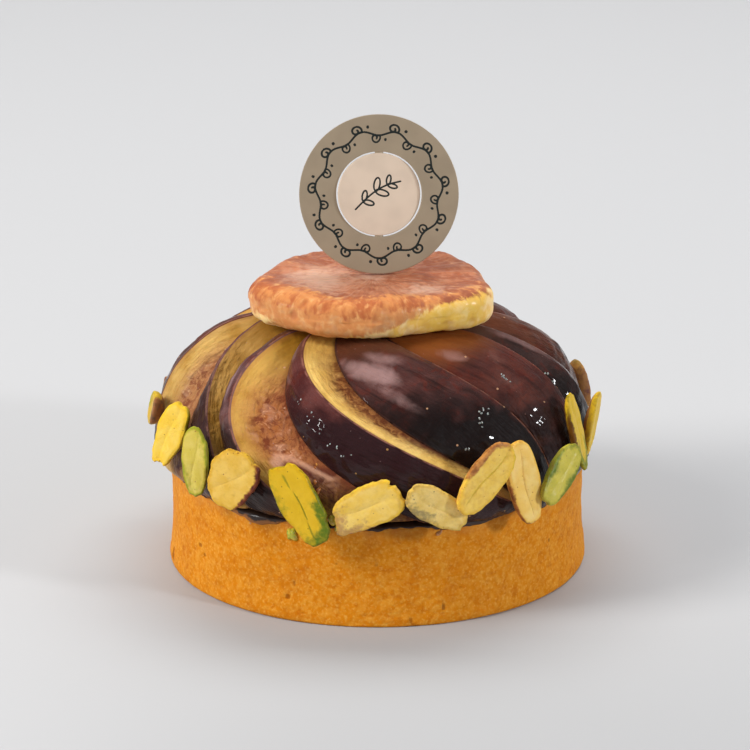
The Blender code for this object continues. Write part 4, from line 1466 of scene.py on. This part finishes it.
@dataclass
class PistachioRing:
    """Pistachio halves round the rim, each in its solid's own place and size."""

    looks: tuple[NutLook, ...]
    columns: int = 96
    cut_share: float = 0.2
    edge_share: float = 0.14

    def place(self, node: str) -> tuple[Array, Array, Array]:
        """Centre, axes and half sizes of a nut's solid.

        The axes are the directions in which its points spread most, middling and least; they become up,
        right and out, as seen from outside.

        Returns:
            The middle of the flat side, the axes right, out and up as rows, and the half sizes along them.
        """
        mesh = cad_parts[node].data
        spots = np.zeros(len(mesh.vertices) * 3)
        mesh.vertices.foreach_get("co", spots)
        spots = np.unique(np.round(spots.reshape(-1, 3), 7), axis=0)
        middle = spots.mean(axis=0)
        axes = np.linalg.svd(spots - middle, full_matrices=False)[2]
        up = axes[0] * (1.0 if axes[0][2] > 0.0 else -1.0)
        out = axes[2] * (1.0 if axes[2][:2] @ middle[:2] > 0.0 else -1.0)
        right = np.cross(up, out)
        basis = np.stack((right, out, up))
        spread = (spots - middle) @ basis.T
        low, high = spread.min(axis=0), spread.max(axis=0)
        centre = middle + 0.5 * (low + high) @ basis
        half = 0.5 * (high - low)
        return centre + basis[1] * half[1] * (1.0 - 2.0 * self.cut_share), basis, half

    def outline(self, number: int, look: NutLook, half: Array) -> Array:
        """Edge of the cut face: (cos^blunt, sin) times the half sizes, made uneven and nicked."""
        angle = full_turn(self.columns)
        rise = np.sin(angle)
        across = np.sign(np.cos(angle)) * np.abs(np.cos(angle)) ** look.blunt * (1.0 + 0.08 * rise)
        edge = np.stack((across * half[0], rise * half[2]), axis=1)
        wobble = grid(*around(2.0, angle), 7.0 * number)
        fine = grid(*around(7.0, angle), 3.0 * number)
        uneven = 0.13 * layered_noise(wobble, 1.0, 2, 13) + 0.05 * layered_noise(fine, 1.0, 2, 29)
        scale = 1.0 + look.notches * uneven
        for middle, wide, depth in look.nicks:
            scale -= depth * ease(wide, 0.3 * wide, apart(np.degrees(angle), middle))
        return edge * scale[:, None]

    def surface(self, number: int, look: NutLook) -> Rings:
        """One half: a cut face folded along its groove, a soft rim and a round back.

        Rows run from the middle of the cut face to the rim and on to the middle of the back.
        """
        centre, basis, half = self.place(f"pistachio_{number:02d}")
        outline = self.outline(number, look, half)
        thick = 2.0 * half[1]
        cut_rise, edge = self.cut_share * thick, self.edge_share * thick
        face = np.linspace(0.0, 1.0, 24)[1:-1]
        turn = np.radians(np.linspace(90.0, 0.0, 7))
        bend = np.linspace(0.0, 0.5 * math.pi, 15)[1:-1]
        scale = np.concatenate((0.93 * face, 0.93 + 0.07 * np.cos(turn), np.cos(bend)))
        zone = np.repeat((0, 1, 2), (len(face), len(turn), len(bend)))
        fall = np.concatenate((np.zeros(len(face)), 1.0 - np.sin(turn), np.ones(len(bend))))
        bulk = np.concatenate((np.zeros(len(face) + len(turn)), np.sin(bend)))
        x, z = (scale[:, None] * outline[:, column] for column in (0, 1))
        level = cut_rise - edge * fall - (thick - edge) * bulk
        local = grid(x, level[:, None], z)
        values = self.face_values(local, outline, scale, zone, look, number)
        on_face = np.where(zone == 0, 1.0, 0.0)[:, None]
        local[..., 1] += on_face * MM * (
            0.16 * ease(0.0, 1.6, np.abs(values["off_line"])) - 0.14 * values["groove"])
        local[..., 1] -= on_face * MM * 0.22 * ease(0.75, 1.0, scale)[:, None]
        local[..., 1] += 0.09 * MM * layered_noise(local + number, 1.7 * MM, 3, 19)
        local[..., 1] = np.where(
            zone[:, None] < 2, np.minimum(local[..., 1], cut_rise + 0.1 * MM), local[..., 1])
        return Rings(centre + local @ basis, values)

    def face_values(self, local: Array, outline: Array, scale: Array, zone: Array, look: NutLook,
                    number: int) -> dict[str, Array]:
        """Fields that colour a half: the green next to its skin, the skin, the groove and a smudge.

        Args:
            local: Points in the nut's own frame, rows by columns by 3.
            outline: The outline's points, columns by 2.
            scale: Share of the outline's size of each row.
            zone: 0 for rows of the cut face, 1 for the rim and 2 for the back.
            look: The nut's look.
            number: The nut's number, which varies the groove.

        Returns:
            The named fields, rows by columns.
        """
        x, z = local[..., 0] / MM, local[..., 2] / MM
        angle = np.degrees(np.arctan2(z, x))
        to_rim = (1.0 - scale)[:, None] * np.hypot(*outline.T) / MM

        def towards(side: float | None, wide: float) -> Array:
            """1 at this angle of the face, falling to 0 a quarter turn away from it."""
            if side is None:
                return np.zeros_like(angle)
            return ease(90.0, wide, apart(angle, side))

        patchy = 0.55 + 0.45 * layered_noise(grid(x, z, 5.0 * number), 3.0, 2, 61)
        green = ease(look.rim + 0.3, 0.0, to_rim) * patchy
        for side, strength in look.greens:
            green = green + strength * towards(side, 15.0) ** 1.6 * ease(3.6, 0.8, to_rim)
        skin = towards(look.skin_at, 35.0) * ease(look.skin_wide + 0.9, look.skin_wide - 0.9, to_rim)
        depth = ease(0.97, 0.8, scale)[:, None]
        skin = np.maximum(skin, np.where((zone == 2)[:, None], depth, 0.0))
        lean = math.radians(look.slant)
        off_line = x * math.cos(lean) - z * math.sin(lean) + 0.3 * np.sin(z * 0.5 + number)
        groove = look.groove * ease(0.3, 0.02, np.abs(off_line)) * ease(0.6, 1.8, to_rim)
        smudge = towards(look.smudge_at, 5.0) * ease(4.2, 1.2, to_rim)
        edge = np.where((zone == 2)[:, None], 1.0, ease(1.4, 0.0, to_rim))
        return {
            "green": np.clip(green, 0.0, 1.0), "skin": skin, "groove": groove, "smudge": smudge,
            "edge": edge, "off_line": off_line, "worn": np.full_like(x, look.worn),
        }

    def build(self) -> None:
        """Make every half in its solid's place."""
        for number, look in enumerate(self.looks, start=1):
            colours = (look.face, look.bright, look.green, look.skin, look.purple, look.smudge)
            flesh = PistachioFinish(f"pistachio_flesh_{number:02d}", *colours).material()
            name, solid = f"pistachio_half_{number:02d}", f"pistachio_{number:02d}"
            make_piece(name, [self.surface(number, look)], Slot.PISTACHIO, flesh, [solid])


class Bit(Enum):
    """What a small thing on the tart is made of."""

    # Small glaze beads whose pale colour is a painted glint.
    BEAD = "glaze_beads"
    SEED = "fig_seeds"
    CHIP = "pistachio_chips"
    CRUMB = "brown_crumbs"


@dataclass(frozen=True)
class Cluster:
    """A few small things that lie together on a surface.

    Attributes:
        bit: What they are.
        spot: Middle of the cluster, in millimetres. Each thing goes to the surface's nearest point.
        count: How many there are.
        spread: How far they lie from the middle, in millimetres.
        size: Smallest and largest half length, in millimetres.
    """

    bit: Bit
    spot: Triple
    count: int = 5
    spread: float = 0.9
    size: Pair = (0.16, 0.3)


@dataclass
class Scatter:
    """Glaze beads painted as glints, seeds, chips and crumbs: low uneven pebbles set into the figs and the
    crust.
    """

    clusters: tuple[Cluster, ...]
    flatness: Mapping[Bit, float]
    finishes: Mapping[Bit, PlainFinish]

    def pebble(self, spot: Array, normal: Array, size: float, flat: float, seed: int) -> Rings:
        """A sphere of ten rings, drawn out one way, flattened along the normal and roughened by noise."""
        turn = np.radians(np.linspace(90.0, -90.0, 12))[1:-1, None]
        angle = full_turn(14)
        ball = grid(*around(np.cos(turn), angle), np.sin(turn))
        ball = ball * (1.0 + 0.22 * layered_noise(ball + 3.0 * seed, 1.1, 2, 83))[..., None]
        heading = math.radians(137.5 * seed)
        side = np.cross(normal, (math.cos(heading), math.sin(heading), 0.3))
        side /= np.linalg.norm(side)
        axes = np.stack((side, 0.68 * np.cross(normal, side), flat * normal))
        return Rings(spot + size * ball @ axes)

    def build(self, surfaces: Sequence[Rings]) -> None:
        """Set every cluster on the nearest of the surfaces, one piece for each kind of thing."""
        points = np.concatenate([surface.points.reshape(-1, 3) for surface in surfaces])
        normals = np.concatenate([surface.normals().reshape(-1, 3) for surface in surfaces])
        draw = random.Random(5)
        parts: dict[Bit, list[Rings]] = {bit: [] for bit in Bit}
        for cluster in self.clusters:
            for _ in range(cluster.count):
                wanted = [value + draw.gauss(0.0, 0.55) * cluster.spread for value in cluster.spot]
                nearest = int(np.argmin(np.sum((points - np.array(wanted) * MM) ** 2, axis=1)))
                size, flat = draw.uniform(*cluster.size) * MM, self.flatness[cluster.bit]
                made = parts[cluster.bit]
                made.append(self.pebble(points[nearest], normals[nearest], size, flat, len(made) + 1))
        slots = {Bit.CHIP: Slot.PISTACHIO, Bit.CRUMB: Slot.CRUST}
        for bit, made in parts.items():
            make_piece(bit.value, made, slots.get(bit, Slot.FIG), self.finishes[bit].material())


@dataclass
class SyrupHem:
    """Thin syrup that ran out under the figs and down over the shell's edge, in a few runs."""

    edge: Table = (
        (0.0, 19.6), (40.0, 19.3), (80.0, 19.6), (120.0, 19.2), (160.0, 19.6), (200.0, 19.3), (222.0, 19.5),
        (229.0, 18.3), (236.0, 17.4), (242.0, 18.2), (247.0, 19.3), (256.0, 19.3), (262.0, 18.9),
        (270.0, 19.0), (280.0, 19.0), (286.0, 18.3), (294.0, 17.9), (300.0, 18.4), (306.0, 19.2),
        (330.0, 19.6), (360.0, 19.6),
    )
    amber: float = 236.0
    thickness: float = 0.45 * MM
    rows: int = 900

    def build(self, shell: Shell) -> None:
        """Lay the syrup on the shell's edge.

        Its outside is the shell's profile plus a thickness that rises from nothing to a round bead at the
        lower edge; its inside lies in the crust.
        """
        azimuth = np.linspace(0.0, 360.0, self.rows, endpoint=False)
        angle = np.radians(azimuth)
        ripple = layered_noise(grid(*around(14.0, angle), 0.0), 1.0, 3, 53)
        low = (soft_table(self.edge, azimuth, 2.0) + 0.4 * ripple) * MM
        share = np.linspace(0.0, 1.0, 14)
        height = shell.height + share[None, :] * (low[:, None] - shell.height)
        corner = shell.height - shell.lip
        bend = np.sqrt(np.maximum(1.0 - (np.maximum(height - corner, 0.0) / shell.lip) ** 2, 0.0))
        wall = soft_table(shell.side, height, 1.0 * MM)
        radius = np.where(height > corner, shell.top_radius - shell.lip + shell.lip * bend, wall)
        bead = self.thickness * np.sqrt(np.maximum(1.0 - share ** 6, 0.0))
        radius = np.concatenate((radius + bead, radius[:, ::-3] - 0.5 * MM), axis=1)
        height = np.concatenate((height, height[:, ::-3]), axis=1)
        points = grid(*around(radius, angle[:, None]), height)
        run = ease(12.0, 6.0, np.abs(azimuth - self.amber))[:, None]
        rings = Rings(points, {"amber": run * ease(0.2, 0.9, np.arange(height.shape[1]) / 13.0)}, hoop=True)
        make_piece("syrup_hem", [rings], Slot.FIG, SyrupFinish().material())


@dataclass
class Studio:
    """Pale floor that sweeps up behind, soft light, and the camera at the photograph's angle."""

    floor: Rgb = (186, 186, 187)
    # Darker floor colour towards the front: painted shade.
    front: Rgb = (166, 166, 167)
    # Lighter floor colour at the front left: painted light.
    left: Rgb = (187, 187, 188)
    lens: float = 161.2
    spot: Triple = (0.0, -0.6060, 0.2351)
    look_down: float = 18.24
    pan: float = 0.041

    def build_floor(self) -> None:
        """Floor and backdrop in one: a flat run, a quarter circle, and a wall."""
        turn = np.radians(np.linspace(-90.0, 0.0, 17))
        bend, reach = 0.5, 0.9
        y = np.concatenate(((-3.0, reach), reach + bend * np.cos(turn), (reach + bend,)))
        z = np.concatenate(((0.0, 0.0), bend + bend * np.sin(turn), (4.0,)))
        x = np.array((-4.0, 4.0))
        points = grid(x[None, :], y[:, None], z[:, None]).reshape(-1, 3)
        faces = [[2 * row, 2 * row + 1, 2 * row + 3, 2 * row + 2] for row in range(len(y) - 1)]
        mesh = bpy.data.meshes.new("studio_floor")
        mesh.from_pydata(points.tolist(), [], faces)
        mesh.shade_smooth()
        graph = new_material("studio_paper")
        spot = graph.node("SeparateXYZ", {0: graph.place()}).outputs
        # Painted shade: the floor darkens towards the front.
        colour = graph.mix(graph.step(spot[1], 0.1, -0.22), self.floor, self.front)
        # Painted light: a lighter patch of floor at the front left.
        left = graph.step(spot[0], 0.0, -0.08) * graph.step(spot[1], 0.06, -0.06)
        colour = graph.mix(left * 0.8, colour, self.left)
        mesh.materials.append(shaded(
            "studio_paper", graph, {"Base Color": colour, "Roughness": 0.85, "Specular IOR Level": 0.2}))
        floor = bpy.data.objects.new("studio_floor", mesh)
        bpy.context.scene.collection.objects.link(floor)

    def build_light(self, name: str, spot: Triple, size: Pair, power: float,
                    colour: Triple = (1.0, 1.0, 1.0), mirrored: bool = True) -> None:
        """One soft rectangular light aimed at the tart, seen in glossy surfaces or not."""
        light = bpy.data.lights.new(name, "AREA")
        light.shape = "RECTANGLE"
        light.size, light.size_y = size
        light.energy = power
        light.color = colour
        lamp = bpy.data.objects.new(name, light)
        lamp.location = spot
        lamp.rotation_euler = (Vector((0.0, 0.0, 0.04)) - Vector(spot)).to_track_quat("-Z", "Y").to_euler()
        lamp.visible_glossy = mirrored
        bpy.context.scene.collection.objects.link(lamp)

    def build(self) -> None:
        """Set the floor, the lights, the air's light and the camera."""
        self.build_floor()
        self.build_light(
            "key_light", (-0.9, -0.45, 0.75), (0.45, 0.45), 12.5, (1.0, 0.98, 0.95), mirrored=False)
        self.build_light("spark_light", (-0.98, -0.38, 0.38), (0.09, 0.14), 1.5)
        self.build_light("top_light", (0.1, 0.5, 1.0), (1.2, 0.7), 12.0, mirrored=False)
        self.build_light("fill_light", (0.8, -0.5, 0.4), (0.1, 0.12), 4.5, (0.94, 0.97, 1.0))
        world = bpy.data.worlds.new("studio_air")
        world.use_nodes = True
        world.node_tree.nodes["Background"].inputs["Color"].default_value = (0.94, 0.96, 1.0, 1.0)
        world.node_tree.nodes["Background"].inputs["Strength"].default_value = 0.27
        bpy.context.scene.world = world
        bpy.context.scene.view_settings.view_transform = "Standard"
        camera_data = bpy.data.cameras.new("camera")
        camera_data.lens = self.lens
        camera_data.sensor_width = 36.0
        camera = bpy.data.objects.new("camera", camera_data)
        camera.location = self.spot
        camera.rotation_euler = (math.radians(90.0 - self.look_down), 0.0, math.radians(self.pan))
        bpy.context.scene.collection.objects.link(camera)
        bpy.context.scene.camera = camera


def wedge_shapes() -> tuple[WedgeShape, ...]:
    """The eight wedges that the photograph shows, then the six of the far side by rule."""
    shown = (
        WedgeShape((176, 183, 187, 193), lift=0.257, pulp=(9.5, 24.0), pulp_reach=(4.6, 14.0)),
        WedgeShape((181, 200, 218.5, 231), 0.93, 0.50, pulp=(7.5, 30.0), pulp_reach=(3.0, 12.0),
            sheen_patches=((-0.5, 6.0, 1.2, 8.0, 1.0), (-2.0, 22.0, 1.0, 7.0, 0.7))),
        WedgeShape((222, 217.8, 229, 253), 0.62, 0.12, pulp=(13.0, 27.0), pulp_reach=(8.4, 14.5),
            sheen_patches=((-1.6, 20.0, 0.9, 9.0, 0.8),),
            folds=((1.5, ((6.2, 36.6), (8.2, 34.2), (10.6, 33.8), (12.8, 35.8), (14.6, 38.6))),)),
        WedgeShape((227, 246, 278.5, 306), 0.60, 0.46, 0.05, 104.0, pulp=(12.0, 25.0),
            pulp_reach=(7.4, 30.0), sheen_patches=((-2.4, 8.0, 1.8, 6.0, 0.9), (-5.5, 16.0, 1.8, 4.0, 0.7))),
        WedgeShape((264, 300, 315, 320), 0.32, 0.25, 0.10, 108.0,
            sheen_patches=((-12.5, 14.5, 5.5, 6.5, 1.1), (-7.0, 11.0, 5.5, 4.0, 0.8), (-15.0, 22.0, 3.0, 8.0, 0.7))),
        WedgeShape((315, 333.5, 336.5, 340), 0.16, 0.20, 0.05,
            sheen_patches=((-10.0, 9.5, 2.6, 3.6, 0.9), (-5.0, 14.0, 3.0, 5.0, 0.5), (-9.0, 20.0, 5.0, 6.0, 0.45))),
        WedgeShape((329, 346.5, 353, 355), 0.18, 0.24, sheen_patches=((-1.0, 14.0, 1.5, 9.0, 1.0),)),
        WedgeShape((352, 373, 381, 384), 0.20, 0.30, sheen_patches=((-1.4, 20.0, 1.2, 7.0, 0.9),)),
    )
    first, last = shown[0].ridge[2] + 360.0, shown[-1].ridge[2]
    step = (first - last) / 7.0
    draw = random.Random(7)
    hidden = []
    for index in range(1, 7):
        middle = last + step * index + draw.uniform(-2.5, 2.5)
        hidden.append(WedgeShape(tuple(middle + sweep for sweep in (-17.0, -6.0, 0.0, 5.0))))
    return shown + tuple(hidden)


def fig_finishes() -> tuple[FigFinish, ...]:
    """The wedges' colours, in the order of their shapes."""
    return (
        FigFinish("fig_01", skin=(84, 48, 36), rind=(202, 162, 92), dark_rind_and_shade=(168, 124, 52),
            flesh=(172, 122, 80), pulp=(128, 76, 50), core=(154, 98, 60), veil=(214, 174, 140), shift=0.11),
        FigFinish("fig_02", skin=(92, 58, 56), flush=(118, 82, 80), low=(56, 34, 32), foot=(196, 164, 136),
            ridge=(120, 84, 70), rind=(182, 140, 74), dark_rind_and_shade=(140, 98, 34), flesh=(140, 98, 56),
            pulp=(112, 72, 36), core=(140, 96, 50), veil=(186, 146, 96), shift=0.22),
        FigFinish("fig_03", skin=(84, 54, 54), flush=(112, 80, 78), low=(46, 28, 26), foot=(128, 96, 76),
            rind=(198, 154, 76), dark_rind_and_shade=(160, 114, 34), flesh=(164, 104, 62), pulp=(114, 56, 32),
            core=(150, 84, 38), veil=(216, 164, 134), shift=0.33),
        FigFinish("fig_04", skin=(76, 33, 31), flush=(98, 54, 50), top=(106, 70, 56), low=(44, 20, 22),
            haze_and_sheen=(132, 106, 104), rind=(238, 200, 116), dark_rind_and_shade=(216, 172, 84), flesh=(150, 100, 54),
            pulp=(92, 48, 24), core=(112, 62, 32), veil=(188, 142, 84), shift=0.44),
        FigFinish("fig_05", skin=(62, 36, 33), flush=(80, 46, 42), top=(92, 52, 34), low=(22, 13, 12),
            haze_and_sheen=(158, 124, 120), ridge=(112, 70, 56), rind=(150, 90, 50), dark_rind_and_shade=(120, 66, 34), shift=0.55),
        FigFinish("fig_06", skin=(74, 38, 33), flush=(94, 49, 39), top=(140, 78, 34), low=(40, 24, 22),
            haze_and_sheen=(150, 108, 98), ridge=(120, 62, 46), rind=(120, 66, 34), dark_rind_and_shade=(90, 44, 24), shift=0.66),
        FigFinish("fig_07", skin=(50, 32, 28), flush=(70, 46, 42), top=(92, 60, 46), low=(20, 13, 12),
            haze_and_sheen=(126, 96, 92), ridge=(150, 110, 98), rind=(110, 62, 40), dark_rind_and_shade=(80, 44, 28), shift=0.77),
        FigFinish("fig_08", skin=(80, 42, 28), flush=(104, 60, 42), top=(104, 58, 36), low=(34, 20, 16),
            haze_and_sheen=(120, 96, 90), rind=(150, 96, 50), dark_rind_and_shade=(120, 70, 34), shift=0.88),
        FigFinish("fig_09", skin=(68, 36, 28), rind=(196, 146, 70), dark_rind_and_shade=(160, 108, 44), shift=0.99),
        FigFinish("fig_10", skin=(56, 32, 32), flush=(84, 50, 48), rind=(210, 170, 88), shift=1.10),
        FigFinish("fig_11", skin=(88, 44, 30), flush=(112, 58, 34), rind=(204, 154, 74), shift=1.21),
        FigFinish("fig_12", skin=(54, 32, 32), flush=(80, 48, 44), rind=(216, 176, 96), shift=1.32),
        FigFinish("fig_13", skin=(74, 42, 36), rind=(206, 160, 82), dark_rind_and_shade=(176, 126, 52), shift=1.43),
        FigFinish("fig_14", skin=(90, 52, 40), rind=(210, 168, 92), dark_rind_and_shade=(190, 142, 62), shift=1.54),
    )


def nut_looks() -> tuple[NutLook, ...]:
    """The halves that the photograph shows, from the left round the front, then the far side's by rule."""
    shown = (
        NutLook((196, 158, 60), (206, 172, 40), (150, 150, 20), (150, 100, 60), (110, 80, 60), 0.6,
            skin_at=0.0, skin_wide=0.9, greens=((150.0, 0.9),)),
        NutLook((240, 206, 92), (236, 190, 30), (166, 166, 20), rim=0.28, groove=0.3, worn=0.0, blunt=0.9,
            nicks=((25.0, 30.0, 0.08), (205.0, 30.0, 0.08), (-105.0, 14.0, -0.1), (-58.0, 14.0, -0.12))),
        NutLook((212, 192, 98), (194, 174, 58), (130, 144, 26), rim=0.5, groove=0.6, slant=8.0,
            greens=((-120.0, 0.5), (60.0, 0.5)), nicks=((55.0, 25.0, 0.08),)),
        NutLook((226, 188, 92), (212, 164, 40), (190, 152, 34), (124, 60, 34), (84, 30, 24), 0.2,
            skin_at=6.0, skin_wide=0.8, slant=25.0, groove=0.5, worn=0.25,
            nicks=((95.0, 40.0, 0.07), (-75.0, 14.0, 0.06), (-15.0, 12.0, 0.05), (174.0, 16.0, -0.08))),
        NutLook((218, 178, 34), (206, 164, 10), (92, 112, 14), (120, 96, 20), rim=0.15,
            greens=((-62.0, 1.3), (150.0, 0.55)), groove=1.3, slant=4.0, blunt=0.52,
            nicks=((84.0, 8.0, 0.08), (-38.0, 8.0, 0.06), (-62.0, 10.0, -0.05))),
        NutLook((236, 202, 108), (230, 184, 44), (216, 186, 24), (176, 132, 82), (156, 116, 78), 0.3,
            skin_at=-30.0, skin_wide=0.25, smudge_at=-68.0, smudge=(170, 126, 84), groove=0.5, slant=8.0,
            worn=0.3, notches=0.5, nicks=((113.0, 8.0, 0.08), (-58.0, 16.0, -0.13), (-100.0, 12.0, 0.05))),
        NutLook((232, 202, 122), (214, 174, 74), (190, 158, 50), (110, 80, 50), (80, 60, 44), 0.3,
            smudge_at=150.0, groove=0.5, worn=0.3, nicks=((215.0, 12.0, 0.05),)),
        NutLook((246, 210, 124), (238, 188, 74), (206, 150, 50), (176, 104, 44), (130, 72, 34), 0.3,
            skin_at=222.0, skin_wide=0.4, groove=1.0, worn=0.25, notches=0.2),
        NutLook((242, 206, 102), (234, 188, 56), (206, 176, 24), (190, 130, 66), (140, 84, 40), 0.3,
            skin_at=150.0, skin_wide=1.2, groove=1.0, slant=3.0, worn=0.4, greens=((60.0, 0.3),)),
        NutLook((206, 190, 78), (176, 166, 48), (92, 112, 22), (150, 110, 60), rim=1.7, groove=0.3,
            greens=((0.0, 0.5), (185.0, 0.5)), nicks=((200.0, 30.0, 0.06),)),
        NutLook((214, 178, 60), (206, 170, 30), (122, 128, 20), (110, 70, 20), (80, 50, 20), 0.4,
            greens=((-90.0, 1.1),), skin_at=180.0, skin_wide=0.6),
        NutLook((222, 184, 56), (214, 176, 36), (170, 146, 30), rim=0.35, groove=0.4),
        NutLook((176, 122, 60), (190, 140, 70), (140, 130, 50), rim=0.5, skin_at=180.0),
    )
    draw = random.Random(12)
    hidden = []
    for _ in range(11):
        green = draw.uniform(0.3, 1.1)
        hidden.append(NutLook(
            (draw.uniform(220, 240), draw.uniform(190, 210), draw.uniform(80, 118)),
            (draw.uniform(212, 232), draw.uniform(176, 194), draw.uniform(24, 60)),
            rim=green, slant=draw.uniform(-25.0, 25.0), groove=draw.uniform(0.4, 1.0),
            skin_at=draw.choice((None, 0.0, 120.0, 180.0, 240.0)), skin_wide=draw.uniform(0.5, 1.2),
        ))
    return shown + tuple(hidden)


def clusters() -> tuple[Cluster, ...]:
    """The small things that the photograph shows, and a few more round the far side."""
    bead, seed, chip, crumb = Bit
    shown = (
        # Beads: their pale colour stands for glints, painted highlights on the glaze.
        Cluster(bead, (19.6, -31.0, 38.5), 7, 1.1), Cluster(bead, (18.6, -32.9, 36.8), 5),
        Cluster(bead, (15.9, -35.4, 33.1), 3), Cluster(bead, (23.2, -20.8, 41.8), 6, 1.2),
        Cluster(bead, (31.6, -10.7, 39.0), 4), Cluster(bead, (32.7, -10.9, 37.7), 4),
        Cluster(bead, (-13.9, -30.0, 40.4), 3, 0.7, (0.1, 0.2)),
        Cluster(bead, (-12.0, -33.0, 38.6), 4, 0.8, (0.1, 0.22)),
        Cluster(bead, (-9.9, -35.5, 36.6), 3, 0.8, (0.1, 0.2)),
        Cluster(bead, (-7.9, -37.4, 34.4), 4, 0.9, (0.12, 0.24)),
        Cluster(bead, (-5.7, -38.7, 33.5), 3, 0.8, (0.12, 0.24)),
        Cluster(seed, (-10.4, -39.1, 27.2), 4, 1.4, (0.35, 0.65)),
        Cluster(seed, (-10.9, -37.1, 29.9), 3, 1.6, (0.2, 0.4)),
        Cluster(chip, (-15.6, -36.2, 16.8), 4, 0.5, (0.8, 1.3)),
        Cluster(bead, (-15.7, -37.2, 17.2), 1, 0.1, (0.4, 0.5)),
        Cluster(chip, (-7.5, -41.0, 21.0), 6, 0.9, (0.7, 1.2)),
        Cluster(chip, (-7.0, -38.6, 18.8), 4, 0.9, (0.4, 0.8)),
        Cluster(crumb, (11.5, -37.5, 17.8), 2, 0.3, (0.4, 0.6)),
        Cluster(crumb, (-22.2, -32.5, 18.4), 5, 2.2, (0.12, 0.26)),
    )
    draw = random.Random(31)
    hidden = []
    for bit, size in ((bead, (0.14, 0.28)), (chip, (0.3, 0.6)), (crumb, (0.12, 0.25)), (seed, (0.2, 0.4))):
        reach, low, high = (38.0, 26.0, 38.0) if bit in (bead, seed) else (39.3, 14.0, 19.0)
        for _ in range(3):
            turn = math.radians(draw.uniform(10.0, 170.0))
            hidden.append(Cluster(bit, (*around(reach, turn), draw.uniform(low, high)), 4, 1.0, size))
    return shown + tuple(hidden)


def small_things() -> Scatter:
    """The scattered things with their forms and finishes."""
    flatness = {Bit.BEAD: 0.6, Bit.SEED: 0.8, Bit.CHIP: 0.7, Bit.CRUMB: 0.9}
    finishes = {
        # Pale bead colour: painted glints.
        Bit.BEAD: PlainFinish("glaze_bead", (196, 204, 200), (120, 122, 120), roughness=0.1, coat=1.0),
        Bit.SEED: PlainFinish("fig_seed", (202, 136, 64), (160, 92, 40), roughness=0.25),
        Bit.CHIP: PlainFinish("pistachio_chip", (150, 160, 30), (214, 190, 60), roughness=0.35),
        Bit.CRUMB: PlainFinish("brown_crumb", (220, 168, 120), (168, 112, 66), roughness=0.7, coat=0.0),
    }
    return Scatter(clusters(), flatness, finishes)


def main() -> None:
    """Build and dress every piece, then the studio; each piece logs its face count."""
    logging.basicConfig(level=logging.INFO, format="%(message)s")
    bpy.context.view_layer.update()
    shell, fan = Shell(), FigFan(wedge_shapes(), fig_finishes())
    crust, figs = shell.surface(), [fan.surface(index) for index in range(len(fan.shapes))]
    shell.build(crust)
    fan.build(figs)
    SyrupHem().build(shell)
    small_things().build([crust, *figs])
    TopSlice().build()
    PistachioRing(nut_looks()).build()
    Plaque().build()
    Studio().build()


if __name__ == "__main__":
    main()
